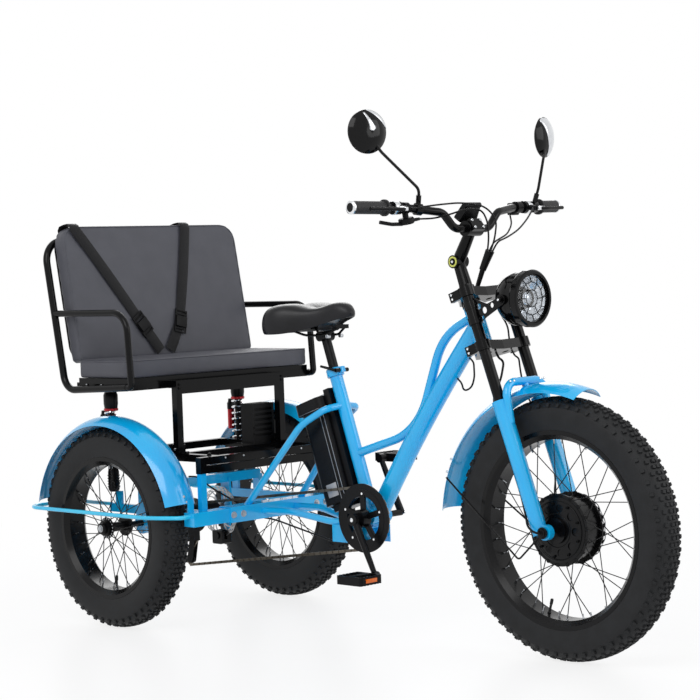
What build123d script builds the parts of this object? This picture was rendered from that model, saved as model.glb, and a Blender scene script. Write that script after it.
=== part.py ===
from build123d import *
import math
import os

# Electric passenger tricycle: fat tyres, one steered motor wheel, two rear wheels, a rear bench.
# Millimetres. +X is forward, +Y is the rider's left, +Z is up, and the ground is z = 0.
# Every function works from the rear axle's centre line at x = 0; save() then shifts the whole
# model along X so that the origin lies under the middle of its length.

# ---- driving dimensions: wheels --------------------------------------------------------------
WHEELBASE = 1432.0
TRACK = 688.0
TYRE_WIDTH = 98.0
FRONT_TYRE_R = 347.0
REAR_TYRE_R = 299.0
FRONT_BEAD_R = 253.5
REAR_BEAD_R = 203.0
RIM_WIDTH = 84.0
RIM_FLANGE = 7.5
RIM_DEPTH = 17.0
RIM_WALL = 3.5
SPOKE_R = 1.3
SPOKES = 36
RUN_GAP = 0.3            # running clearance between pieces that turn in one another

# ---- driving dimensions: steering ------------------------------------------------------------
RAKE = 20.0
FORK_OFFSET = 84.0       # hub centre ahead of the steering axis
STANCHION_AHEAD = 62.0   # stanchion line ahead of the steering axis
STANCHION_SPREAD = 160.0
STANCHION_R = 15.0
LEG_R = 22.0
LOWER_CROWN_S = 520.0    # heights along the steering axis, from the front hub's level
UPPER_CROWN_S = 672.0
CROWN_THICK = 26.0
LEG_TOP_S = 366.0
STEM_PIVOT_S = 781.0
HEAD_TUBE_R = 25.0
STEERER_R = 14.3

# ---- driving dimensions: frame ---------------------------------------------------------------
BB_SETBACK = 680.0       # bottom bracket behind the front hub
BB_X = WHEELBASE - BB_SETBACK
BB_Z = 339.0
BB_R = 21.0
BB_WIDTH = 73.0
SEAT_TUBE_R = 19.0
SEAT_TUBE_FOOT = (BB_X - 22.0, BB_Z + 11.0)
SEAT_TUBE_LENGTH = 405.0
SEAT_ANGLE = 18.3
DOWN_TUBE_R = 27.0
TOP_TUBE_R = 12.5
STAY_R = 10.0
BEAM_X = 326.0
BEAM_Z = 338.0
BEAM_HALF = 338.0
BEAM_DEPTH = 44.0
BEAM_HEIGHT = 40.0
WHEEL_PLATE_Y = 236.0    # bearing plates inboard of the rear wheels
WHEEL_PLATE_THICK = 8.0
GUARD_R = 6.0
GUARD_Z = 347.0
GUARD_OUT = 420.0
GUARD_BACK = -340.0

# ---- driving dimensions: rear bench ----------------------------------------------------------
PLATFORM_TOP = 512.0
PLATFORM_RAIL = 22.0
PLATFORM_FRONT = 326.0
PLATFORM_BACK = -150.0
PLATFORM_SIDE = 212.0
STRUT_Y = 275.0
POST_X = 142.0
POST_WIDTH = 22.0
POST_Y = 209.0
SEAT_FRONT = 112.0
SEAT_BACK = -124.0
SEAT_HALF = 372.0
CUSHION_THICK = 46.0
BACK_TALL = 413.0
BACK_THICK = 52.0
BACK_LEAN = 10.2
HOOP_R = 11.0
SHOCK_X = -107.0
SHOCK_Y = 260.0

# ---- driving dimensions: rider's place -------------------------------------------------------
BAR_HALF = 420.0
BAR_R = 11.1
GRIP_R = 17.0
MIRROR_R = 57.0
LAMP_R = 76.0
CRANK_LENGTH = 170.0
AXLE_BB_R = 9.0
RING_R = 88.0
RING_Y = -52.0
CHAIN_HEIGHT = 8.5
CHAIN_WIDTH = 7.0
CHAIN_CORE = 3.6         # between the link plates
CHAIN_PITCH = 12.7

# ---- worked-out values -----------------------------------------------------------------------
WHEEL_Y = TRACK / 2
FENDER_REAR_TIP = GUARD_BACK - GUARD_R
FRONT_TIP = WHEELBASE + FRONT_TYRE_R
SHIFT_X = -(FRONT_TIP + FENDER_REAR_TIP) / 2
COS_RAKE = math.cos(math.radians(RAKE))
SIN_RAKE = math.sin(math.radians(RAKE))
AXIS_UP = Vector(-SIN_RAKE, 0, COS_RAKE)
AXIS_FORWARD = Vector(COS_RAKE, 0, SIN_RAKE)
FRONT_HUB = Vector(WHEELBASE, 0, FRONT_TYRE_R)
AXIS_FOOT = FRONT_HUB - AXIS_FORWARD * FORK_OFFSET
FRONT_RIM_R = FRONT_BEAD_R + RIM_FLANGE
REAR_RIM_R = REAR_BEAD_R + RIM_FLANGE

os.makedirs("parts", exist_ok=True)


# ---- small helpers ---------------------------------------------------------------------------
def save(node, *solids):
    """Write one sub-part, moved so that the model's origin lies under its middle."""
    pieces = []
    for solid in solids:
        pieces.extend(solid.solids())
    shape = pieces[0] if len(pieces) == 1 else Compound(children=pieces)
    moved = shape.moved(Location((SHIFT_X, 0, 0)))
    export_step(moved, "parts/" + node + ".step")
    return moved


def steer(s, forward=0.0, y=0.0):
    """A point s up the steering axis from the hub's level, forward of it and y to the left."""
    return AXIS_FOOT + AXIS_UP * s + AXIS_FORWARD * forward + Vector(0, y, 0)


def rod(start, end, radius, end_radius=None):
    """A round bar, or a taper when end_radius is given, between two points."""
    start, end = Vector(*start), Vector(*end)
    way = end - start
    plane = Plane(origin=start, z_dir=way.normalized())
    if end_radius is None:
        return plane * Pos(0, 0, way.length / 2) * Cylinder(radius, way.length)
    return plane * Pos(0, 0, way.length / 2) * Cone(radius, end_radius, way.length)


def y_disc(radius, thick, x, y, z):
    """A disc whose axis is along Y."""
    return Pos(x, y, z) * Rot(90, 0, 0) * Cylinder(radius, thick)


def bent(points, radii, radius, hollow=0.0):
    """A bar of round section along straight runs joined by tangent arcs."""
    path = FilletPolyline(*points, radius=radii)
    start = path @ 0
    section = Plane(origin=start, z_dir=path % 0) * Circle(radius)
    bar = sweep(section, path=path)
    if hollow:
        core = Plane(origin=start, z_dir=path % 0) * Circle(radius - hollow)
        bar = bar - sweep(core, path=path)
    return bar


def cable(points, radius):
    """A cable through points, with each bend as wide as the two runs beside it allow."""
    route = [Vector(*point) for point in points]
    radii = []
    for before, at, after in zip(route, route[1:], route[2:]):
        arriving, leaving = at - before, after - at
        turn = math.radians(arriving.get_angle(leaving))
        radii.append(0.45 * min(arriving.length, leaving.length) / math.tan(turn / 2))
    return bent(route, radii, radius)


def box(x0, x1, y0, y1, z0, z1):
    """A box between two corners."""
    return Pos((x0 + x1) / 2, (y0 + y1) / 2, (z0 + z1) / 2) * Box(x1 - x0, y1 - y0, z1 - z0)


def fused(*shapes):
    """One solid from pieces that are welded together."""
    whole = shapes[0]
    for shape in shapes[1:]:
        whole = whole + shape
    return whole


def wheel_spin(profile, x, y, z):
    """Revolve a profile drawn as (across, radius) about a wheel's axle."""
    face = make_face(profile)
    turned = revolve(face, axis=Axis.X, revolution_arc=360)
    return Pos(x, y, z) * Rot(0, 0, 90) * turned


# ---- wheels ----------------------------------------------------------------------------------
def tyre_ring(tyre_r, bead_r, x, y, z):
    """A fat tyre out to its lugs' tips, with a bulged side wall and a bead in the rim."""
    half = TYRE_WIDTH / 2
    seat = RIM_WIDTH / 2 - RIM_WALL
    bulge = (tyre_r + bead_r) / 2
    shoulder = tyre_r - 20.0
    profile = [
        Line((-seat, bead_r), (seat, bead_r)),
        Line((seat, bead_r), (seat, bead_r + RIM_FLANGE + 1.0)),
        ThreePointArc((seat, bead_r + RIM_FLANGE + 1.0), (half, bulge), (half - 6.0, shoulder)),
        ThreePointArc((half - 6.0, shoulder), (0, tyre_r), (6.0 - half, shoulder)),
        ThreePointArc((6.0 - half, shoulder), (-half, bulge), (-seat, bead_r + RIM_FLANGE + 1.0)),
        Line((-seat, bead_r + RIM_FLANGE + 1.0), (-seat, bead_r)),
    ]
    return wheel_spin(profile, x, y, z)


def rim_ring(bead_r, x, y, z):
    """A wide single-wall rim: two flanges, bead seats and a shallow well."""
    half = RIM_WIDTH / 2
    flange = bead_r + RIM_FLANGE
    well = bead_r - RIM_DEPTH
    gap = RUN_GAP
    profile = Polyline(
        (-half, flange), (-half, bead_r - 4.0), (-half + 14.0, well), (half - 14.0, well),
        (half, bead_r - 4.0), (half, flange), (half - RIM_WALL + gap, flange),
        (half - RIM_WALL + gap, bead_r - gap), (half - 16.0, bead_r - gap),
        (half - 18.0, well + RIM_WALL), (18.0 - half, well + RIM_WALL),
        (16.0 - half, bead_r - gap), (RIM_WALL - gap - half, bead_r - gap),
        (RIM_WALL - gap - half, flange), close=True)
    return wheel_spin([profile], x, y, z)


def spoke_set(flange_r, flange_y, flange_thick, bead_r, y):
    """Crossed spokes round an axle at the origin, laced from both hub flanges."""
    well = bead_r - RIM_DEPTH + 1.0
    spokes = []
    step = 360.0 / SPOKES
    lean = 3.0 * step
    for index in range(SPOKES):
        side = -1.0 if index % 2 else 1.0
        pair = index // 2
        lead = 1.0 if pair % 2 else -1.0
        at_rim = math.radians(index * step)
        at_hub = at_rim + math.radians(lead * lean)
        lift = SPOKE_R + RUN_GAP + 0.8 + flange_thick / 2
        hub_y = y + side * (flange_y + lead * lift)
        start = (flange_r * math.cos(at_hub), hub_y, flange_r * math.sin(at_hub))
        end = (well * math.cos(at_rim), y + side * 8.0, well * math.sin(at_rim))
        spokes.append(rod(start, end, SPOKE_R))
    return spokes


def laced_rim(bead_r, flange_r, flange_y, flange_thick, x, y, z):
    """The rim with its spokes seated in it."""
    rim = rim_ring(bead_r, 0, y, 0)
    whole = rim.fuse(*spoke_set(flange_r, flange_y, flange_thick, bead_r, y))
    return Pos(x, 0, z) * whole


# front hub motor
MOTOR_R = 86.0
MOTOR_HALF = 42.0
MOTOR_RIM_HALF = 33.0    # half the width of the drum at its edge, where the covers start to dome
MOTOR_FLANGE_Y = 30.0
MOTOR_FLANGE_R = 95.0
FLANGE_THICK = 4.0
AXLE_R = 7.0
FRONT_AXLE_HALF = 100.0
ROTOR_R = 90.0
ROTOR_THICK = 2.0
FRONT_ROTOR_Y = 51.0


def motor_shell():
    """The hub motor's case with domed side covers and two spoke flanges, bored for its axle."""
    x, z = FRONT_HUB.X, FRONT_HUB.Z
    rim, cover = MOTOR_RIM_HALF, MOTOR_HALF
    profile = [
        Line((-rim, MOTOR_R), (rim, MOTOR_R)),
        ThreePointArc((rim, MOTOR_R), (rim + 6.0, MOTOR_R - 22.0), (cover, MOTOR_R - 50.0)),
        Line((cover, MOTOR_R - 50.0), (cover, 0)),
        Line((cover, 0), (-cover, 0)),
        Line((-cover, 0), (-cover, MOTOR_R - 50.0)),
        ThreePointArc((-cover, MOTOR_R - 50.0), (-rim - 6.0, MOTOR_R - 22.0), (-rim, MOTOR_R)),
    ]
    shell = wheel_spin(profile, x, 0, z)
    for side in (-1, 1):
        shell = shell + y_disc(MOTOR_FLANGE_R, FLANGE_THICK, x, side * MOTOR_FLANGE_Y, z)
        shell = shell + y_disc(34.0, 12.0, x, side * (MOTOR_HALF + 2.0), z)
    for index in range(9):
        angle = math.radians(40.0 * index)
        pocket = y_disc(11.0, 8.0, x + 60.0 * math.cos(angle), -MOTOR_HALF, z + 60.0 * math.sin(angle))
        shell = shell - pocket
    return shell - y_disc(AXLE_R + RUN_GAP, 300.0, x, 0, z)


def brake_rotor(radius, x, y, z):
    """A vented brake disc: a swept ring carried by angled arms."""
    ring = y_disc(radius, ROTOR_THICK, x, y, z) - y_disc(radius - 15.0, ROTOR_THICK * 3, x, y, z)
    carrier = y_disc(30.0, ROTOR_THICK, x, y, z)
    whole = ring + carrier
    for index in range(6):
        arm = Pos(0, 0, radius / 2) * Box(9.0, ROTOR_THICK, radius - 12.0)
        whole = whole + Pos(x, y, z) * Rot(0, 60.0 * index, 0) * arm
    return whole


def front_wheel():
    """Everything that turns about the front axle."""
    x, z = FRONT_HUB.X, FRONT_HUB.Z
    save("front_tyre", tyre_ring(FRONT_TYRE_R, FRONT_BEAD_R, x, 0, z))
    rim = laced_rim(FRONT_BEAD_R, MOTOR_FLANGE_R - 4.0, MOTOR_FLANGE_Y, FLANGE_THICK, x, 0, z)
    save("front_rim_spokes", rim)
    save("hub_motor", motor_shell())
    rotor = brake_rotor(ROTOR_R, x, FRONT_ROTOR_Y, z)
    save("front_brake_disc", rotor - y_disc(AXLE_R + RUN_GAP, 300.0, x, 0, z))


# rear hubs
HUB_R = 14.0
HUB_FLANGE_R = 31.0
HUB_FLANGE_Y = 34.0
HUB_END_Y = 46.0
HALF_AXLE_R = 9.0


def rear_hub(side):
    """A trike hub: shell, two spoke flanges, an outer cap nut and its half axle inboard."""
    y = side * WHEEL_Y
    z = REAR_TYRE_R
    shell = y_disc(HUB_R, 2 * HUB_END_Y, 0, y, z)
    for out in (-1, 1):
        shell = shell + y_disc(HUB_FLANGE_R, FLANGE_THICK, 0, y + out * HUB_FLANGE_Y, z)
        shell = shell + y_disc(22.0, 12.0, 0, y + out * (HUB_FLANGE_Y + 8.0), z)
    cap = y_disc(17.0, 14.0, 0, y + side * (HUB_END_Y + 6.0), z)
    cap = fillet(cap.edges().filter_by(GeomType.CIRCLE), 3.0)
    inner = y - side * HUB_END_Y
    axle_end = side * AXLE_INNER_Y
    axle = y_disc(HALF_AXLE_R, abs(inner - axle_end), 0, (inner + axle_end) / 2, z)
    return shell + cap + axle


def rear_wheel(side, name):
    """Everything that turns about one half axle."""
    y = side * WHEEL_Y
    z = REAR_TYRE_R
    save("rear_tyre_" + name, tyre_ring(REAR_TYRE_R, REAR_BEAD_R, 0, y, z))
    rim = laced_rim(REAR_BEAD_R, HUB_FLANGE_R - 4.0, HUB_FLANGE_Y, FLANGE_THICK, 0, y, z)
    save("rear_rim_spokes_" + name, rim)
    save("rear_hub_" + name, rear_hub(side))


# ---- rear drive: differential case with cassette and brake disc -------------------------------
SLEEVE_HALF = 84.0
SLEEVE_R = 16.0
AXLE_INNER_Y = SLEEVE_HALF + RUN_GAP
CASE_R = 38.0
CASE_WIDTH = 56.0
CASE_Y = 22.0
REAR_ROTOR_Y = 72.0
REAR_ROTOR_R = 80.0
SPROCKETS = 7
SPROCKET_PITCH = 5.2
ENGAGED = 4              # the sprocket that carries the chain, counted from the largest
ENGAGED_R = 36.0


def drive_case():
    """The differential's case, with a sleeve each way for the cassette and the brake disc."""
    z = REAR_TYRE_R
    case = y_disc(CASE_R, CASE_WIDTH, 0, CASE_Y, z)
    case = fillet(case.edges().filter_by(GeomType.CIRCLE), 8.0)
    return case + y_disc(SLEEVE_R, 2 * SLEEVE_HALF, 0, 0, z)


def cassette():
    """A stack of sprockets, largest inboard; the chain rides the engaged one."""
    z = REAR_TYRE_R
    first = RING_Y + ENGAGED * SPROCKET_PITCH
    last = first - (SPROCKETS - 1) * SPROCKET_PITCH
    stack = y_disc(21.0, first - last + 2.0, 0, (first + last) / 2, z)
    for index in range(SPROCKETS):
        radius = ENGAGED_R + (ENGAGED - index) * 4.2
        if index == ENGAGED:
            radius = ENGAGED_R - CHAIN_HEIGHT / 2 - 2 * RUN_GAP
        stack = stack + y_disc(radius, 2.0, 0, first - index * SPROCKET_PITCH, z)
    return stack - y_disc(SLEEVE_R + 0.1, 200.0, 0, RING_Y, z)


def rear_drive():
    """The middle of the rear axle."""
    save("drive_case", drive_case())
    save("cassette", cassette())
    disc = brake_rotor(REAR_ROTOR_R, 0, REAR_ROTOR_Y, REAR_TYRE_R)
    save("rear_brake_disc", disc - y_disc(SLEEVE_R + 0.1, 50.0, 0, REAR_ROTOR_Y, REAR_TYRE_R))


# ---- main frame ------------------------------------------------------------------------------
HEAD_LOW_S = LOWER_CROWN_S + CROWN_THICK / 2 + 9.0
HEAD_HIGH_S = UPPER_CROWN_S - CROWN_THICK / 2 - 9.0
SEAT_UP = Vector(-math.sin(math.radians(SEAT_ANGLE)), 0, math.cos(math.radians(SEAT_ANGLE)))
SEAT_FOOT = Vector(SEAT_TUBE_FOOT[0], 0, SEAT_TUBE_FOOT[1])
STAY_SPREAD = 110.0
STAY_RUN = BB_X - BEAM_X  # from the bottom bracket back to the cross beam
STAY_BEND_UP = 259.0     # the seat stay's bend above the bottom bracket
PLATE_LENGTH = 150.0
PLATE_HALF = 42.0
PLATE_DROP = 50.0
FENDER_FRONT_ANGLE = 15.0
FENDER_BACK_ANGLE = 168.0
POST_R = 14.0


def seat_line(along, behind=0.0, y=0.0):
    """A point up the seat tube from its foot, behind it and y to the left."""
    back = Vector(-SEAT_UP.Z, 0, SEAT_UP.X)
    return SEAT_FOOT + SEAT_UP * along + back * behind + Vector(0, y, 0)


def down_tube_path():
    """The down tube's gently bowed middle line, from the bottom bracket to the head tube."""
    low = Vector(BB_X, 0, BB_Z)
    high = steer(592.0)
    middle = (low + high) / 2 + Vector(-9.0, 0, 8.0)
    return ThreePointArc(low, middle, high)


def down_tube():
    """The big tube from the bottom bracket to the head tube."""
    path = down_tube_path()
    return sweep(Plane(origin=path @ 0, z_dir=path % 0) * Circle(DOWN_TUBE_R), path=path)


def top_tube():
    """The thin tube that drops from the head in an S to the seat tube's middle."""
    head = steer(626.0)
    seat = seat_line(172.0)
    drop = Vector(BB_X + 268.0, 0, BB_Z + 510.0)
    level = Vector(BB_X + 167.0, 0, BB_Z + 247.0)
    return bent([head, drop, level, seat], [170.0, 200.0], TOP_TUBE_R)


def seat_stay(side):
    """A bent stay from high on the seat tube down to the cross beam."""
    top = seat_line(318.0, 0.0, side * 8.0)
    elbow = seat_line(314.0, 14.0, side * 66.0)
    bend = Vector(BB_X - 0.5 * STAY_RUN, side * 86.0, BB_Z + STAY_BEND_UP)
    foot = Vector(BEAM_X - 14.0, side * STAY_SPREAD, BEAM_Z + 6.0)
    return bent([top, elbow, bend, foot], [30.0, 150.0], STAY_R)


def chain_stay(side):
    """A stay from the bottom bracket shell back to the cross beam."""
    front = Vector(BB_X - 6.0, side * 20.0, BB_Z - 10.0)
    bend = Vector(BB_X - 0.35 * STAY_RUN, side * 34.0, BB_Z - 22.0)
    level = Vector(BB_X - 0.68 * STAY_RUN, side * 58.0, BEAM_Z + 2.0)
    back = Vector(BEAM_X + 10.0, side * 66.0, BEAM_Z)
    return bent([front, bend, level, back], [160.0, 200.0], STAY_R)


def cross_beam():
    """The box beam across the frame, sleeved where the outer arms bolt on."""
    half_d, half_h = BEAM_DEPTH / 2, BEAM_HEIGHT / 2
    core = box(BEAM_X - half_d - 3, BEAM_X + half_d + 3, -200.0, 200.0,
               BEAM_Z - half_h - 3, BEAM_Z + half_h + 3)
    arms = box(BEAM_X - half_d, BEAM_X + half_d, -BEAM_HALF, BEAM_HALF,
               BEAM_Z - half_h, BEAM_Z + half_h)
    return core + arms


def under_plate():
    """The pressed channel welded below the bottom bracket and chain stays."""
    x1 = BB_X + 6.0
    x0 = x1 - PLATE_LENGTH
    z1 = BB_Z - 28.0
    outer = box(x0, x1, -PLATE_HALF, PLATE_HALF, z1 - PLATE_DROP, z1)
    inner = box(x0 - 1, x1 + 1, 3.0 - PLATE_HALF, PLATE_HALF - 3.0, z1 - PLATE_DROP - 1, z1 - 3.0)
    return outer - inner + box(x1 - 40.0, x1 - 4.0, -24.0, 24.0, z1 - 1.0, BB_Z)


def strut(side):
    """The upright between the cross beam and the platform's front rail."""
    high = PLATFORM_TOP - 2 * PLATFORM_RAIL - 3
    y = side * STRUT_Y
    return box(PLATFORM_FRONT - 20, PLATFORM_FRONT - 2, y - 10, y + 10, BEAM_Z, high)


def fender_tab(side):
    """The tab on the beam that a rear fender's front edge bolts to."""
    edge = REAR_FENDER_R * math.cos(math.radians(FENDER_FRONT_ANGLE)) + 0.1
    y0, y1 = side * (BEAM_HALF - 20), side * BEAM_HALF
    return box(edge, edge + 5, min(y0, y1), max(y0, y1), BEAM_Z, BEAM_Z + 58)


def main_frame():
    """The welded step-through frame."""
    head = rod(steer(HEAD_LOW_S), steer(HEAD_HIGH_S), HEAD_TUBE_R)
    seat = rod(seat_line(0), seat_line(SEAT_TUBE_LENGTH), SEAT_TUBE_R)
    bracket = y_disc(BB_R, BB_WIDTH, BB_X, 0, BB_Z)
    bridge = box(SEAT_TUBE_FOOT[0] - 10.0, BB_X, -14.0, 14.0, BB_Z, BB_Z + 34.0)
    whole = fused(head, down_tube(), top_tube(), seat, bracket, bridge, cross_beam(), under_plate())
    for side in (-1, 1):
        whole = fused(whole, seat_stay(side), chain_stay(side), strut(side), fender_tab(side))
    whole = whole - rod(steer(HEAD_LOW_S - 10), steer(HEAD_HIGH_S + 10), STEERER_R + 2.0)
    whole = whole - rod(seat_line(150.0), seat_line(SEAT_TUBE_LENGTH + 30), POST_R)
    whole = whole - rod(steer(HEAD_LOW_S - 60), steer(HEAD_LOW_S), HEAD_TUBE_R + 4)
    return whole - y_disc(AXLE_BB_R + RUN_GAP, BB_WIDTH * 3, BB_X, 0, BB_Z)


# ---- rear axle frame -------------------------------------------------------------------------
RAIL_HEIGHT = 26.0
RAIL_THICK = 16.0
ARM_BACK = -150.0
HOUSING_R = 33.0
HANGER_Z = 404.0
CALIPER_GAP = 6.0        # from a brake disc's middle to its caliper's inner faces


def wheel_plate(side):
    """The arm and bearing housing inboard of one rear wheel."""
    y = side * WHEEL_PLATE_Y
    housing = y_disc(HOUSING_R, WHEEL_PLATE_THICK * 2, 0, y, REAR_TYRE_R)
    arm = box(ARM_BACK, BEAM_X - BEAM_DEPTH / 2, y - RAIL_THICK / 2, y + RAIL_THICK / 2,
              BEAM_Z - RAIL_HEIGHT / 2, BEAM_Z + RAIL_HEIGHT / 2)
    web = box(-26.0, 26.0, y - RAIL_THICK / 2, y + RAIL_THICK / 2, REAR_TYRE_R, BEAM_Z)
    eye = side * (SHOCK_Y - 16.0)
    lug = box(SHOCK_X - 14.0, SHOCK_X + 14.0, min(y, eye), max(y, eye), BEAM_Z, BEAM_Z + 52.0)
    upright = box(-14.0, 14.0, y - 8.0, y + 8.0, BEAM_Z, HANGER_Z)
    return fused(housing, arm, web, lug, upright)


def axle_frame():
    """Both bearing arms and the hanger tube between them."""
    whole = wheel_plate(-1) + wheel_plate(1)
    whole = whole + box(-14.0, 14.0, -WHEEL_PLATE_Y, WHEEL_PLATE_Y, HANGER_Z - 14.0, HANGER_Z + 14.0)
    for side in (-1, 1):
        y = side * (SLEEVE_HALF + 16.0)
        hanger = box(-20.0, 20.0, y - 4.0, y + 4.0, REAR_TYRE_R, HANGER_Z)
        hanger = hanger + y_disc(26.0, 8.0, 0, y, REAR_TYRE_R)
        if side > 0:
            hanger = hanger + box(-13.0, 13.0, y - 4.0, y + 4.0, REAR_TYRE_R - REAR_ROTOR_R - 16, REAR_TYRE_R)
        whole = whole + hanger
    return whole - y_disc(HALF_AXLE_R + RUN_GAP, 700.0, 0, 0, REAR_TYRE_R)


def wheel_guard(side):
    """The bar that loops round a rear wheel from the beam's end to the wheel plate."""
    out = side * GUARD_OUT
    inner = side * WHEEL_PLATE_Y
    points = [Vector(BEAM_X, side * (BEAM_HALF + 0.2), GUARD_Z),
              Vector(BEAM_X, side * (BEAM_HALF + 34), GUARD_Z),
              Vector(BEAM_X - 90.0, out, GUARD_Z), Vector(GUARD_BACK, out, GUARD_Z),
              Vector(GUARD_BACK, inner, GUARD_Z), Vector(ARM_BACK - 0.2, inner, GUARD_Z)]
    return bent(points, [26.0, 150.0, 60.0, 40.0], GUARD_R)


PLATFORM_HOLE_R = 3.3
PLATFORM_HOLE_X = 230.0
PLATFORM_HOLES_ALONG = 100.0


def platform():
    """The black ring frame above the axle, on struts from the cross beam."""
    rail = PLATFORM_RAIL
    top = PLATFORM_TOP
    front = box(PLATFORM_FRONT - rail, PLATFORM_FRONT, -STRUT_Y - 12, STRUT_Y + 12, top - rail, top)
    lower = box(PLATFORM_FRONT - rail, PLATFORM_FRONT, -STRUT_Y - 12, STRUT_Y + 12,
                top - 2 * rail - 3, top - rail - 3)
    back = box(PLATFORM_BACK, PLATFORM_BACK + rail, -PLATFORM_SIDE, PLATFORM_SIDE, top - rail, top)
    middle = box(POST_X - rail / 2, POST_X + rail / 2, -PLATFORM_SIDE, PLATFORM_SIDE, top - rail, top)
    whole = fused(front, back, middle)
    for side in (-1, 1):
        y = side * PLATFORM_SIDE
        whole = whole + box(PLATFORM_BACK, PLATFORM_FRONT, y - rail / 2, y + rail / 2, top - rail, top)
        y = side * STRUT_Y
        whole = whole + box(PLATFORM_FRONT - rail, PLATFORM_FRONT, y - 12, y + 12, top - 2 * rail, top)
    tray = box(50, POST_X, 104, PLATFORM_SIDE, top - 3, top)
    whole = whole + lower + tray
    for x in (PLATFORM_HOLE_X - PLATFORM_HOLES_ALONG / 2, PLATFORM_HOLE_X + PLATFORM_HOLES_ALONG / 2):
        for y in (-PLATFORM_SIDE, PLATFORM_SIDE):
            whole = whole - Pos(x, y, top - rail / 2) * Cylinder(PLATFORM_HOLE_R, rail + 2)
    return whole


def rear_caliper():
    """The brake caliper below the rear disc, on a plate that hangs from the axle's bearing hanger."""
    low = REAR_TYRE_R - REAR_ROTOR_R
    hanger_y = SLEEVE_HALF + 12.0
    body = box(-22, 22, REAR_ROTOR_Y - 17, hanger_y - RUN_GAP, low - 20, low + 22)
    body = fillet(body.edges().filter_by(Axis.Y), 5.0)
    slot = box(-40, 40, REAR_ROTOR_Y - CALIPER_GAP, REAR_ROTOR_Y + CALIPER_GAP, low - CALIPER_GAP, low + 60)
    piston = y_disc(11.0, 6.0, 0, REAR_ROTOR_Y - 18.0, low + 6)
    return body - slot + piston


# ---- fenders ---------------------------------------------------------------------------------
FENDER_THICK = 2.0
FRONT_FENDER_R = 384.0
FRONT_FENDER_X = -25.0
REAR_FENDER_R = 331.0
FRONT_FENDER_START = 73.0
FRONT_FENDER_END = 175.0
FENDER_HALF = 57.0
FENDER_DROP = 26.0


def fender_shell(crown, start, end, x, y, z):
    """A thin curved strip over a wheel, between two angles measured up from the front."""
    half, drop, thick = FENDER_HALF, FENDER_DROP, FENDER_THICK
    profile = [
        ThreePointArc((-half, crown - drop), (0, crown), (half, crown - drop)),
        Line((half, crown - drop), (half - thick, crown - drop)),
        ThreePointArc((half - thick, crown - drop), (0, crown - thick), (thick - half, crown - drop)),
        Line((thick - half, crown - drop), (-half, crown - drop)),
    ]
    strip = revolve(make_face(profile), axis=Axis.X, revolution_arc=end - start)
    strip = Rot(180.0 - end, 0, 0) * strip
    return Pos(x, y, z) * Rot(0, 0, 90) * strip


def rear_fender(side):
    """The fender over one rear wheel."""
    return fender_shell(REAR_FENDER_R, FENDER_FRONT_ANGLE, FENDER_BACK_ANGLE, 0, side * WHEEL_Y, REAR_TYRE_R)


def front_fender():
    """The front fender, its middle set back from the hub."""
    x = WHEELBASE + FRONT_FENDER_X
    return fender_shell(FRONT_FENDER_R, FRONT_FENDER_START, FRONT_FENDER_END, x, 0, FRONT_TYRE_R)


# ---- rear bench ------------------------------------------------------------------------------
POST_HEAD = 728.0
BACK_HALF = SEAT_HALF - 20.0
BACK_LOW = POST_HEAD + 62.0
BACK_HIGH = BACK_LOW + BACK_TALL
BEAM_DROP = 40.0
BASE_THICK = 14.0
BACK_ROUND = 55.0
BOARD_THICK = 6.0
ARM_Z = POST_HEAD + 208.0
ARM_BEND = 62.0
ARM_R = 10.0
ARM_FRONT = 131.0
BELT_WIDTH = 38.0
BELT_THICK = 2.0
BUCKLE = (46.0, 70.0, 16.0)


def lean(along, behind=0.0, y=0.0):
    """A point up the leaning backrest's front face from its lower edge, and behind that face."""
    angle = math.radians(BACK_LEAN)
    up = Vector(-math.sin(angle), 0, math.cos(angle))
    back = Vector(-math.cos(angle), 0, -math.sin(angle))
    return Vector(SEAT_BACK, y, BACK_LOW) + up * along + back * behind


def lean_plane(behind=0.0):
    """A plane on the backrest: x is the rider's left, y runs up the lean, z points forward."""
    angle = math.radians(BACK_LEAN)
    forward = Vector(math.cos(angle), 0, math.sin(angle))
    return Plane(origin=lean(0, behind), x_dir=Vector(0, 1, 0), z_dir=forward)


def bench_frame():
    """Posts, front beam, and the pan with the board under the cushion."""
    w = POST_WIDTH / 2
    top = POST_HEAD
    whole = box(POST_X - w, POST_X + w, -POST_Y - w, POST_Y + w, top - BEAM_DROP, top)
    pan = box(SEAT_BACK - 16, SEAT_FRONT, -SEAT_HALF + 12, SEAT_HALF - 12, top - 22, top)
    pan = pan + box(SEAT_BACK, SEAT_FRONT - 2, -SEAT_HALF + 8, SEAT_HALF - 8, top - 3, top + BASE_THICK)
    pan = pan - box(SEAT_BACK + 6, SEAT_FRONT - 22, 34 - SEAT_HALF, SEAT_HALF - 34, top - 23, top - 3)
    whole = whole + pan
    for side in (-1, 1):
        y = side * POST_Y
        whole = whole + box(POST_X - w, POST_X + w, y - w, y + w, PLATFORM_TOP, top)
        whole = whole + box(SEAT_FRONT - 30, POST_X, y - w, y + w, top - 22, top)
        y = side * SHOCK_Y
        whole = whole + box(SHOCK_X - 15, SHOCK_X + 15, y - 24, y + 24, top - 30, top - 2)
    return whole


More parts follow.
